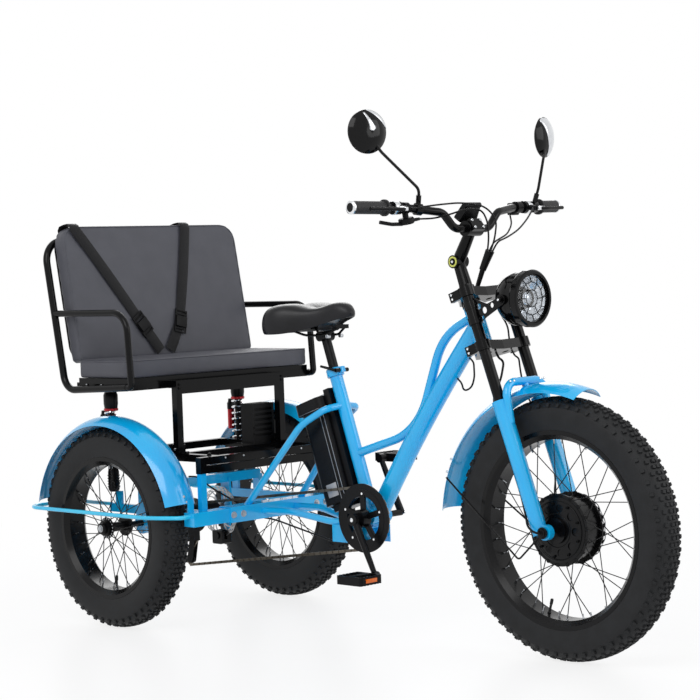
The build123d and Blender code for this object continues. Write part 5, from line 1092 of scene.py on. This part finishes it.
def slotted_disc(build, middle, y, inner, outer, sectors, thick):
    """A brake disc's swept ring: a wavy edge, with slanted slots cut right through it."""
    columns, rows = 6 * sectors, 8
    slant = math.tau / sectors * 0.9
    grid = []
    for i in range(columns):
        line = []
        for j in range(rows + 1):
            share = j / rows
            wave = 1.6 * math.cos(math.tau * i / 12) * share
            radius = inner + (outer - 1.6 - inner) * share + wave
            angle = math.tau * i / columns + slant * share
            line.append([build.verts.new(polar(middle, radius, angle, y + side * thick / 2))
                         for side in (-1, 1)])
        grid.append(line)
    kept = {(i, j) for i in range(columns) for j in range(rows)
            if not (i % 6 in (0, 1, 2) and j in (2, 3, 5, 6))}
    for i, j in sorted(kept):
        k = (i + 1) % columns
        corners = [grid[i][j], grid[k][j], grid[k][j + 1], grid[i][j + 1]]
        build.faces.new([c[0] for c in corners])
        build.faces.new([c[1] for c in reversed(corners)])
        around = ((i, j - 1, corners[0], corners[1]), (i, j + 1, corners[2], corners[3]),
                  ((i - 1) % columns, j, corners[3], corners[0]), (k, j, corners[1], corners[2]))
        for column, row, a, b in around:
            if (column, row) not in kept:
                build.faces.new((a[1], b[1], b[0], a[0]))


class TRIKE_OT_discs(bpy.types.Operator):
    """Cuts the brake discs: wavy slotted rings on six slim arms"""
    bl_idname = "trike.discs"
    bl_label = "Brake discs"

    def execute(self, context):
        for node, body, middle, y, radius in (("front_brake_disc", "front_wheel", FRONT_HUB, 51.0, 90.0),
                                              ("rear_brake_disc", "rear_drive", REAR_AXLE, 72.0, 80.0)):
            build = bmesh.new()
            inner = radius - 15.0
            slotted_disc(build, middle, y, inner, radius, 24, 2.0)
            turned(build, [(-1, 17), (-1, 30), (1, 30), (1, 17)],
                   Vector((middle.x, y * MM, middle.z)), LEFT, steps=48, close=True)
            for index in range(6):
                start = math.tau * index / 6
                for lead, wide in ((0.34, 5.0), (0.0, 3.4)):
                    steps = 6
                    rings = []
                    for k in range(steps + 1):
                        share = k / steps
                        reach = 29.0 + (inner + 1.5 - 29.0) * share
                        turn = start + lead * share - 0.12 * math.sin(math.pi * share)
                        place = polar(middle, reach, turn, y)
                        sideways = radial(turn + math.pi / 2) * (wide / 2) * MM
                        rings.append([build.verts.new(place + sideways * a + LEFT * b * MM)
                                      for a, b in CORNERS])
                    skin(build, rings, capped=True)
            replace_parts(fit(node + "_slotted", build, "disc", body), node)
        return {"FINISHED"}


# ---- shocks ----------------------------------------------------------------------------------
class TRIKE_OT_shocks(bpy.types.Operator):
    """Builds the two coil-over dampers with chromed springs, red collars and red reservoirs"""
    bl_idname = "trike.shocks"
    bl_label = "Rear shocks"

    def execute(self, context):
        low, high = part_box("rear_shocks")
        foot, head = low[2], high[2]
        for name, side in SIDES.items():
            base = at(-107.0, side * 260.0, 0.0)
            base.z = foot
            tall = (head - foot) / MM
            body, spring, red = bmesh.new(), bmesh.new(), bmesh.new()
            turned(body, [(0, 0), (0, 13), (6, 17), (60, 17), (66, 15.5), (84, 15.5), (84, 11),
                          (tall - 60, 10), (tall - 60, 19), (tall - 40, 22), (tall - 14, 22),
                          (tall - 4, 18), (tall, 14), (tall, 0)], base, UP, steps=28)
            for k in range(5):
                level = 12 + 8.5 * k
                turned(body, [(level, 16.5), (level + 1.5, 19), (level + 4, 19), (level + 5.5, 16.5)],
                       base, UP, steps=28, close=True)
            turns, steps = 8, 22
            first, last = 92.0, tall - 62.0
            points = []
            for k in range(turns * steps + 1):
                share = k / (turns * steps)
                angle = math.tau * turns * share
                points.append(base + Vector((18 * MM * math.cos(angle), 18 * MM * math.sin(angle),
                                             (first + (last - first) * share) * MM)))
            tube_along(spring, points, 3.8 * MM, steps=8)
            for level in (86.0, tall - 58.0):
                turned(red, [(level - 4, 12), (level - 4, 21), (level - 3, 22), (level + 3, 22),
                             (level + 4, 21), (level + 4, 12)], base, UP, steps=32, close=True)
            can = base + Vector((-34 * MM, 0, 0))
            top = tall - 92.0
            turned(red, [(top - 66, 0), (top - 66, 9), (top - 64, 11), (top - 4, 11), (top - 2, 9.5),
                         (top - 2, 0)], can, UP, steps=24)
            turned(body, [(top - 3, 0), (top - 3, 12), (top + 16, 12), (top + 20, 9), (top + 30, 8),
                          (top + 32, 0)], can, UP, steps=24)
            arm = Matrix.Translation(base + Vector((-22 * MM, 0, (top + 4) * MM)))
            block(body, arm, (36 * MM, 13 * MM, 12 * MM))
            for build, finish, label in ((body, "anodised", "body"), (spring, "chrome", "spring"),
                                         (red, "red", "collars")):
                piece = fit("shock_" + label + "_" + name, build, finish, "frame")
                if name == "right" and label == "body":
                    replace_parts(piece, "rear_shocks")
        return {"FINISHED"}


# ---- saddle ----------------------------------------------------------------------------------
class SaddleSizes(bpy.types.PropertyGroup):
    """Sizes of the two-lobed comfort saddle."""
    groove: length("Groove depth", "How deep the channel between the two lobes is", 9.0)
    sag: length("Waist dip", "How far the top dips between the lobes and the nose", 15.0)


# the left half of the outline seen from above: millimetres ahead of the saddle's middle, and outwards
SADDLE_OUTLINE = ((-114, 0), (-128, 26), (-136, 62), (-128, 108), (-104, 132), (-70, 131), (-38, 114),
                  (4, 80), (44, 50), (76, 38), (106, 31), (130, 17), (138, 0))
# rings from the hidden underside round the lip to the crown: share of the outline, and height share
SADDLE_RINGS = ((0.0, 0.30), (0.84, 0.30), (0.90, 0.04), (0.94, 0.0), (0.975, 0.03), (1.0, 0.22),
                (0.995, 0.45), (0.97, 0.64), (0.92, 0.79), (0.84, 0.90), (0.72, 0.965), (0.56, 0.995),
                (0.38, 1.0), (0.2, 1.0), (0.0, 1.0))


def eased(value, start, end):
    """0 before start, 1 after end, and a smooth rise between."""
    share = min(max((value - start) / (end - start), 0.0), 1.0)
    return share * share * (3 - 2 * share)


class TRIKE_OT_saddle(bpy.types.Operator):
    """Moulds the rider's saddle with its two lobes and raised nose"""
    bl_idname = "trike.saddle"
    bl_label = "Saddle"

    def execute(self, context):
        sizes = context.scene.trike_saddle
        low, high = (Vector(v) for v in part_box("saddle"))
        middle = Vector(((low.x + high.x) / 2, 0.0, low.z))
        long, wide, tall = high.x - low.x, high.y - low.y, high.z - low.z
        loop = list(SADDLE_OUTLINE) + [(x, -y) for x, y in reversed(SADDLE_OUTLINE[1:-1])]
        xs = [x for x, _ in loop]
        span_x, span_y = max(xs) - min(xs), 2 * max(y for _, y in loop)
        mid_x = (max(xs) + min(xs)) / 2
        build = bmesh.new()
        rings = []
        for share, level in SADDLE_RINGS:
            ring = []
            for x, y in loop:
                x = mid_x + (x - mid_x) * share if share else mid_x
                y = y * share
                edge = 0.02 + 0.50 * eased(x, -60.0, 150.0)
                groove = sizes.groove / tall * math.exp(-(y / 17.0) ** 2) * (1 - eased(x, -30.0, 60.0))
                sag = sizes.sag / tall * math.exp(-((x - 20.0) / 38.0) ** 2)
                top = 1.0 - 0.03 * (1 - eased(x, 0.0, 90.0)) - 0.16 * eased(x, 108.0, 140.0)
                z = edge + (top - edge) * level - (groove + sag) * eased(level, 0.5, 1.0)
                ring.append(Vector(((x - mid_x) / span_x * long, y / span_y * wide, z * tall)))
            rings.append([build.verts.new(middle + p) for p in (ring if share else ring[:1])])
        skin(build, rings)
        saddle = from_bmesh("saddle_moulded", build, FINISHES["saddle"], smooth=180)
        round_off = saddle.modifiers.new("round_off", "SUBSURF")
        round_off.levels = round_off.render_levels = 3
        settle(saddle, "frame")
        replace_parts(saddle, "saddle")
        return {"FINISHED"}


# ---- headlamp --------------------------------------------------------------------------------
LAMP_R = 76.0
# the reflector's rings: radius, and how far it is ahead of the lamp's front edge
BOWL = ((61.6, -14.6), (56.0, -20.6), (49.0, -28.2), (40.0, -37.3), (30.0, -43.6), (24.0, -46.0))
GUARD_IN = -7.4              # the wire guard's plane
GUARD_WIRE = 1.25 * MM
GUARD_RINGS = (23.0, 44.0, 63.0)
GUARD_BARS = 12


class TRIKE_OT_lamp(bpy.types.Operator):
    """Presses the lamp's faceted reflector and fits its bull's-eye lens"""
    bl_idname = "trike.lamp"
    bl_label = "Lamp reflector and lens"

    def execute(self, context):
        low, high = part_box("headlamp")
        front = Vector((high[0], 0.0, high[2] - LAMP_R * MM))
        build = bmesh.new()
        cells = 24
        grid = []
        for row, (radius, depth) in enumerate(BOWL):
            turn = math.pi / cells * (row % 2)
            grid.append([build.verts.new(front + Vector((depth, a, b)) * MM)
                         for a, b in ring_points(cells, radius, turn)])
        for row, (outer, inner) in enumerate(zip(grid, grid[1:])):
            step = row % 2
            for i in range(cells):
                j = (i + 1) % cells
                if step:
                    build.faces.new((outer[i], outer[j], inner[j]))
                    build.faces.new((outer[i], inner[j], inner[i]))
                else:
                    build.faces.new((outer[i], outer[j], inner[i]))
                    build.faces.new((outer[j], inner[j], inner[i]))
        bowl = from_bmesh("lamp_reflector", build, FINISHES["reflector"], smooth=1)
        settle(bowl, "steering")
        build = bmesh.new()
        turned(build, [(-46.5, 25.5), (-24, 25.5), (-22, 24.5), (-22, 22.5), (-26, 21.5), (-46.5, 20)],
               front, FORWARD, steps=48, close=True)
        fit("lamp_lens_ring", build, "gloss_plastic", "steering")
        self.grille(front)
        build = bmesh.new()
        turned(build, [(-40, 0), (-40, 21), (-28, 21.6), (-24, 19), (-20.5, 13), (-18.8, 6), (-18.4, 0)],
               front, FORWARD, steps=40)
        fit("lamp_bullseye", build, "bullseye", "steering")
        return {"FINISHED"}

    def grille(self, front):
        """The wire guard: two rings in the middle, joined to the rim by a web of slim bars."""
        build = bmesh.new()

        def spot(radius, turn):
            return front + Vector((GUARD_IN, radius * math.cos(turn), radius * math.sin(turn))) * MM

        step = math.tau / GUARD_BARS
        inner, outer, rim = GUARD_RINGS
        for radius in (inner, outer):
            ring = [spot(radius, step * k) for k in range(GUARD_BARS)]
            tube_along(build, ring, GUARD_WIRE, steps=8, closed=True)
        turned(build, [(-9.4, 61), (-9.4, 64.8), (-5.4, 64.8), (-5.4, 61)], front, FORWARD, steps=64,
               close=True)
        for k in range(GUARD_BARS):
            if k % 2 == 0:
                tube_along(build, [spot(inner, step * k), spot(outer, step * k)], GUARD_WIRE, steps=8)
            tube_along(build, [spot(outer, step * k), spot(rim, step * (k + 0.25))], GUARD_WIRE, steps=8)
        guard = fit("lamp_wire_guard", build, "gloss_plastic", "steering")
        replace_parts(guard, "lamp_grille")


# ---- mirrors ---------------------------------------------------------------------------------
MIRROR_R = 57.0
MIRROR_TURN = math.radians(15.0)
# the shell's section: radius, and depth behind the glass
MIRROR_BACK = ((57.0, 7.0), (35.3, 20.2), (0.0, 24.0))


def arc_depth(radius):
    """How far the mirror's domed shell stands behind its glass, at a radius."""
    (x1, y1), (x2, y2), (x3, y3) = MIRROR_BACK
    a = 2 * (x2 - x1), 2 * (y2 - y1), x2 ** 2 + y2 ** 2 - x1 ** 2 - y1 ** 2
    b = 2 * (x3 - x1), 2 * (y3 - y1), x3 ** 2 + y3 ** 2 - x1 ** 2 - y1 ** 2
    spread = a[0] * b[1] - a[1] * b[0]
    cx, cy = (a[2] * b[1] - a[1] * b[2]) / spread, (a[0] * b[2] - a[2] * b[0]) / spread
    bend = math.hypot(x1 - cx, y1 - cy)
    return cy + math.sqrt(max(bend ** 2 - (radius - cx) ** 2, 0.0))


def mirror_frame(side):
    """Where a mirror's glass is: its middle, the way its back faces, and its width's direction."""
    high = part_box("mirrors")[1]
    middle = at(1099.2, side * 358.0, 0.0)
    middle.z = high[2] - MIRROR_R * MM
    back = Vector((math.cos(MIRROR_TURN), side * math.sin(MIRROR_TURN), 0.0))
    return middle, back, Vector((-back.y, back.x, 0.0))


HIGHLIGHT_LIFT = 0.8       # how far a painted highlight's middle is off the shell
HIGHLIGHT_THICK = 1.4 * MM
HIGHLIGHT_EDGE = 0.985     # how near a painted highlight comes to the shell's rim


def dome_patch(name, side, rows):
    """A thin bright chrome sheet on the back of a mirror, a painted highlight, from rows of (across, up)
    places as shares of its radius.
    """
    middle, back, across = mirror_frame(side)
    build = bmesh.new()
    grid = []
    for row in rows:
        line = []
        for u, v in row:
            radius = min(math.hypot(u, v), 0.999) * MIRROR_R
            place = middle + across * u * MIRROR_R * MM + UP * v * MIRROR_R * MM
            line.append(build.verts.new(place + back * (arc_depth(radius) + HIGHLIGHT_LIFT) * MM))
        grid.append(line)
    for low, high in zip(grid, grid[1:]):
        for i in range(len(low) - 1):
            build.faces.new((low[i], low[i + 1], high[i + 1], high[i]))
    patch = fit(name, build, "mirror_painted_highlight", "steering", smooth=60)
    thick = patch.modifiers.new("thick", "SOLIDIFY")
    thick.thickness = HIGHLIGHT_THICK
    thick.offset = 0.0


class TRIKE_OT_mirrors(bpy.types.Operator):
    """Silvers the mirrors' glass and lays painted highlights, thin chrome sheets, on their backs"""
    bl_idname = "trike.mirrors"
    bl_label = "Mirror glass and painted highlights"

    def execute(self, context):
        count = 12
        # a painted highlight: a streak down the right mirror's back
        spear = []
        for k in range(count + 1):
            share = k / count
            u, v = -0.24 + 0.38 * share + 0.03 * math.sin(math.pi * share), 0.86 - 0.84 * share
            half = 0.035 + 0.135 * share ** 1.3
            if share > 0.8:
                half = 0.165 * math.sqrt(max(1 - ((share - 0.8) / 0.2) ** 2, 0.0)) + 0.004
            spear.append([(u + half * w, v + 0.3 * half * w) for w in (-1, -0.5, 0, 0.5, 1)])
        dome_patch("mirror_spear_right", -1.0, spear)
        # a painted highlight: a crescent along the right mirror's rim
        moon = []
        for k in range(count + 1):
            share = k / count
            angle = math.radians(92.0 - 84.0 * share)
            thick = 0.02 + 0.2 * math.sin(math.pi * share) ** 0.8
            moon.append([(math.cos(angle) * r, math.sin(angle) * r)
                         for r in (HIGHLIGHT_EDGE - thick * share for share in (1.0, 0.66, 0.33, 0.0))])
        dome_patch("mirror_moon_right", -1.0, moon)
        # a painted highlight: a broad patch over the left mirror's back
        shell = []
        for k in range(2 * count + 1):
            v = 0.95 - 1.86 * k / (2 * count)
            edge = math.sqrt(1 - v * v) * HIGHLIGHT_EDGE
            start = max(-0.62 + 0.34 * (0.95 - v), -edge)
            shell.append([(start + (edge - start) * w / 8, v) for w in range(9)])
        dome_patch("mirror_shell_left", 1.0, shell)
        for name, side in SIDES.items():
            middle, back, _ = mirror_frame(side)
            glass = bmesh.new()
            turned(glass, [(0, 0), (0, 53.0), (0.9, 52.0), (1.2, 0)], middle, -back, steps=64)
            fit("mirror_glass_" + name, glass, "mirror", "steering")
        return {"FINISHED"}


# ---- trims -----------------------------------------------------------------------------------
def slab(build, middle, across, up, size, edge=0.0):
    """A rounded slab about its middle; size is across, up and through, in millimetres."""
    through = across.cross(up)
    turn = Matrix((across, up, through)).transposed().to_4x4()
    place = Matrix.Translation(middle) @ turn
    rounded_block(build, place, [v * MM for v in size], max(edge, 0.2) * MM)


# the straight ends of the handlebar that the grips are on, ahead of the rear axle, outward and up
GRIP_NEAR, GRIP_FAR = (1106.0, 215.0, 1197.0), (1092.0, 420.0, 1200.0)
CRANK_AXLE = (752.0, 0.0, 339.0)
BATTERY_Y, BATTERY_LID_Y = 45.1, 49.2     # the battery's sides and its lid's
BATTERY_HIGHLIGHT_LINES = (60.5, 46.0)             # how far behind the seat tube's line its painted highlights are: thin bright lines where the rail's edges catch the light


class TRIKE_OT_trims(bpy.types.Operator):
    """Adds the battery's painted highlight lines, plate and catch, the seat clamp, grip caps and pedal
    reflectors
    """
    bl_idname = "trike.trims"
    bl_label = "Trims"

    def execute(self, context):
        self.battery()
        self.bars()
        self.pedals()
        self.crank()
        return {"FINISHED"}

    def battery(self):
        """Two painted highlight lines along the rail's edges, a painted highlight along the lid's edge and a
        blank plate on each side, the catch, and the seat tube's clamp.
        """
        strips, plates, catch = bmesh.new(), bmesh.new(), bmesh.new()
        for side in SIDES.values():
            # painted highlights: two thin bright metal lines where the rail's edges catch the light
            for behind in BATTERY_HIGHLIGHT_LINES:
                strip = seat_line(190.0, behind, side * BATTERY_Y)
                slab(strips, strip, SEAT_BACK, SEAT_UP, (1.6, 262.0, 1.2))
            plate = seat_line(92.0, 88.0, side * (BATTERY_Y + 0.2))
            slab(plates, plate, SEAT_BACK, SEAT_UP, (42.0, 38.0, 1.0), 0.4)
            # a painted highlight: a thin bright line along the lid's edge
            slab(strips, seat_line(328.0, 96.0, side * BATTERY_LID_Y), SEAT_BACK, SEAT_UP, (90.0, 0.9, 0.8))
        slab(catch, seat_line(365.0, 50.0, 0.0), SEAT_BACK, LEFT, (52.0, 34.0, 6.0), 1.5)
        slab(catch, seat_line(372.0, 34.0, 0.0), SEAT_BACK, LEFT, (20.0, 24.0, 10.0), 2.0)
        fit("battery_painted_highlights", strips, "painted_highlight_line", "frame")
        fit("battery_plates", plates, "silver_label", "frame")
        fit("battery_catch", catch, "steel", "frame")
        ring = bmesh.new()
        turned(ring, [(-1, 20), (-1, 24.2), (1, 25.2), (20, 25.2), (22, 24), (22, 20)],
               seat_line(405.0), SEAT_UP, steps=40, close=True)
        slab(ring, seat_line(416.0, -30.0, 0.0), SEAT_BACK, SEAT_UP, (14.0, 18.0, 16.0), 3.0)
        fit("seat_clamp", ring, "paint", "frame")

    def bars(self):
        """Bright caps at the grips' ends and bright lever brackets."""
        bright = bmesh.new()
        for side in SIDES.values():
            near = at(GRIP_NEAR[0], side * GRIP_NEAR[1], GRIP_NEAR[2])
            far = at(GRIP_FAR[0], side * GRIP_FAR[1], GRIP_FAR[2])
            way = (far - near).normalized()
            end = near + (far - near) * 0.962
            turned(bright, [(0, 12), (0, 17.6), (1.5, 18.4), (5.5, 18.0), (7.4, 15), (7.4, 12)],
                   end, way, steps=32, close=True)
            seat = near + (far - near) * (0.24 if side < 0 else 0.30)
            turned(bright, [(-9, 12), (-9, 17.5), (-7, 18.6), (7, 18.6), (9, 17.5), (9, 12)],
                   seat, way, steps=28, close=True)
            slab(bright, seat + Vector((24, 0, -3)) * MM, FORWARD, way, (22.0, 15.0, 12.0), 3.0)
            slab(bright, seat + Vector((40, side * 12, -4)) * MM, FORWARD, way, (15.0, 30.0, 11.0), 3.5)
        fit("bar_bright_trim", bright, "chrome", "steering")

    def pedals(self):
        """Amber reflectors set into both ends of both pedals."""
        for name, side in SIDES.items():
            body = "pedal_" + name
            low, high = (Vector(v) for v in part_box(body))
            middle = (low + high) / 2
            outer = (max(abs(low.y), abs(high.y)) - 43.0 * MM) * side
            build = bmesh.new()
            for way in (-1, 1):
                place = Vector((middle.x + way * 46.7 * MM, outer, middle.z))
                slab(build, place, LEFT, UP, (44.0, 11.4, 3.2), 0.8)
            fit("reflector_" + name, build, "amber", body)

    def crank(self):
        """The crank's end bolt caps and the chainring's bolts."""
        bolts = bmesh.new()
        middle = at(*CRANK_AXLE)
        for side in SIDES.values():
            socket_screw(bolts, polar(middle, 0.0, 0.0, side * 107.0), LEFT * side, 6.0, 0.35)
        for index in range(5):
            angle = math.radians(90.0 - 72.0 * index)
            socket_screw(bolts, polar(middle, 70.0, angle, -63.0), -LEFT, 3.6, 0.5)
        fit("crank_bolts", bolts, "chrome", "crank")


# ---- stage -----------------------------------------------------------------------------------
# the camera's place in metres, its turns in degrees and its lens in millimetres
CAMERA_PLACE = (4.06458, -4.18815, 1.05323)
CAMERA_HEADING = 44.52
CAMERA_PITCH = 2.37
CAMERA_ROLL = -1.95
CAMERA_LENS = 105.72
FLOOR_REACH = 60.0
FLOOR_FADE = (1.3, 3.2)      # metres from the middle over which the floor fades to pure white
FLOOR_NEAR_WHITE = 0.8       # how white the floor is under the tricycle


def camera_turn():
    """The camera's axes from its heading, pitch and roll, in degrees."""
    heading, pitch, roll = (math.radians(v) for v in (CAMERA_HEADING, CAMERA_PITCH, CAMERA_ROLL))
    back = Vector((math.sin(heading) * math.cos(pitch), -math.cos(heading) * math.cos(pitch),
                   math.sin(pitch)))
    right = Vector((math.cos(heading), math.sin(heading), 0))
    up = back.cross(right)
    across = right * math.cos(roll) + up * math.sin(roll)
    upward = -right * math.sin(roll) + up * math.cos(roll)
    return Matrix((across, upward, back)).transposed()


def area_lamp(name, place, aim, size, power):
    """A soft rectangular studio lamp."""
    lamp = bpy.data.lights.new(name, "AREA")
    lamp.shape = "RECTANGLE"
    lamp.size, lamp.size_y = size
    lamp.energy = power
    holder = bpy.data.objects.new(name, lamp)
    holder.location = place
    holder.rotation_euler = (Vector(aim) - Vector(place)).to_track_quat("-Z", "Y").to_euler()
    bpy.context.scene.collection.objects.link(holder)


def white_for_eye(tree):
    """1 for what the camera sees, straight or by reflection or through glass, and 0 for the rest."""
    path = add_node(tree, "ShaderNodeLightPath")
    seen = add_node(tree, "ShaderNodeMath", {0: (path, "Is Camera Ray"), 1: (path, "Is Glossy Ray")},
                    operation="MAXIMUM")
    seen = add_node(tree, "ShaderNodeMath", {0: (seen, "Value"), 1: (path, "Is Transmission Ray")},
                    operation="MAXIMUM")
    return seen


class TRIKE_OT_stage(bpy.types.Operator):
    """Sets the camera, the pale floor and the soft studio lamps"""
    bl_idname = "trike.stage"
    bl_label = "Stage"

    def execute(self, context):
        scene = context.scene
        scene.view_settings.view_transform = "Standard"
        lens = bpy.data.cameras.new("camera")
        lens.lens = CAMERA_LENS
        lens.sensor_width = 36.0
        lens.clip_end = 100.0
        camera = bpy.data.objects.new("camera", lens)
        camera.matrix_world = Matrix.Translation(CAMERA_PLACE) @ camera_turn().to_4x4()
        scene.collection.objects.link(camera)
        scene.camera = camera
        world = bpy.data.worlds.new("studio")
        scene.world = world
        world.use_nodes = True
        tree = world.node_tree
        tree.nodes.clear()
        soft = add_node(tree, "ShaderNodeBackground", {"Color": (1, 1, 1, 1), "Strength": 0.62})
        white = add_node(tree, "ShaderNodeBackground", {"Color": (1, 1, 1, 1), "Strength": 1.0})
        seen = white_for_eye(tree)
        mix = add_node(tree, "ShaderNodeMixShader", {"Fac": (seen, "Value")})
        tree.links.new(soft.outputs[0], mix.inputs[1])
        tree.links.new(white.outputs[0], mix.inputs[2])
        add_node(tree, "ShaderNodeOutputWorld", {"Surface": (mix, "Shader")})
        build = bmesh.new()
        build.faces.new([build.verts.new((x * FLOOR_REACH, y * FLOOR_REACH, 0)) for x, y in CORNERS])
        material, tree, shader = new_material("painted_studio_floor", Base_Color=linear("#F6F7FA"),
                                              Roughness=0.3)
        glow = add_node(tree, "ShaderNodeEmission", {"Color": linear("#FFFFFF"), "Strength": 1.0})
        seen = white_for_eye(tree)
        where = add_node(tree, "ShaderNodeTexCoord")
        away = add_node(tree, "ShaderNodeVectorMath", {0: (where, "Object")}, operation="LENGTH")
        fade = add_node(tree, "ShaderNodeMapRange", {
            "Value": (away, "Value"), "From Min": FLOOR_FADE[0], "From Max": FLOOR_FADE[1],
            "To Min": FLOOR_NEAR_WHITE, "To Max": 1.0}, interpolation_type="SMOOTHSTEP")
        share = add_node(tree, "ShaderNodeMath", {0: (seen, "Value"), 1: (fade, "Result")},
                         operation="MULTIPLY")
        mix = add_node(tree, "ShaderNodeMixShader", {"Fac": (share, "Value")})
        tree.links.new(shader.outputs[0], mix.inputs[1])
        tree.links.new(glow.outputs[0], mix.inputs[2])
        out = next(node for node in tree.nodes if node.type == "OUTPUT_MATERIAL")
        tree.links.new(mix.outputs[0], out.inputs["Surface"])
        floor = from_bmesh("studio_floor", build, material)
        area_lamp("key_lamp", (1.5, -3.5, 3.8), (0, 0, 0.5), (3.5, 2.5), 95.0)
        area_lamp("fill_lamp", (3.8, 1.6, 2.2), (0, 0, 0.6), (2.5, 2.5), 42.0)
        area_lamp("back_lamp", (-3.0, 2.6, 2.8), (0, 0, 0.7), (3.0, 2.0), 50.0)
        return {"FINISHED"}


# ---- panel and registration ------------------------------------------------------------------
class TRIKE_PT_panel(bpy.types.Panel):
    """Lists the tricycle's pieces in the order they are made"""
    bl_idname = "TRIKE_PT_panel"
    bl_label = "Tricycle"
    bl_space_type = "VIEW_3D"
    bl_region_type = "UI"
    bl_category = "Tricycle"

    def draw(self, context):
        for group in GROUPS:
            sizes = getattr(context.scene, group)
            for name in sizes.bl_rna.properties.keys():
                if name not in ("rna_type", "name"):
                    self.layout.prop(sizes, name)
        for maker in MAKERS:
            self.layout.operator(maker.bl_idname)


GROUPS = {"trike_colours": FinishColours, "trike_tyres": TyreSizes, "trike_upholstery": UpholsterySizes,
          "trike_belts": BeltSizes, "trike_saddle": SaddleSizes}
MAKERS = (TRIKE_OT_finishes, TRIKE_OT_tyres, TRIKE_OT_cushions, TRIKE_OT_belts, TRIKE_OT_saddle,
          TRIKE_OT_shocks, TRIKE_OT_discs, TRIKE_OT_wheel_pieces, TRIKE_OT_lamp, TRIKE_OT_mirrors,
          TRIKE_OT_frame_screws, TRIKE_OT_steering_screws, TRIKE_OT_trims, TRIKE_OT_stage)


def register():
    """Registers the classes and hangs the sizes on the scene."""
    for kind in (*GROUPS.values(), *MAKERS, TRIKE_PT_panel):
        bpy.utils.register_class(kind)
    for name, kind in GROUPS.items():
        setattr(bpy.types.Scene, name, bpy.props.PointerProperty(type=kind))


def unregister():
    """Takes the sizes and classes away again."""
    for name in GROUPS:
        delattr(bpy.types.Scene, name)
    for kind in reversed((*GROUPS.values(), *MAKERS, TRIKE_PT_panel)):
        bpy.utils.unregister_class(kind)


def main():
    """Makes every piece in order."""
    register()
    for maker in MAKERS:
        group, name = maker.bl_idname.split(".")
        getattr(getattr(bpy.ops, group), name)()


if __name__ == "__main__":
    main()
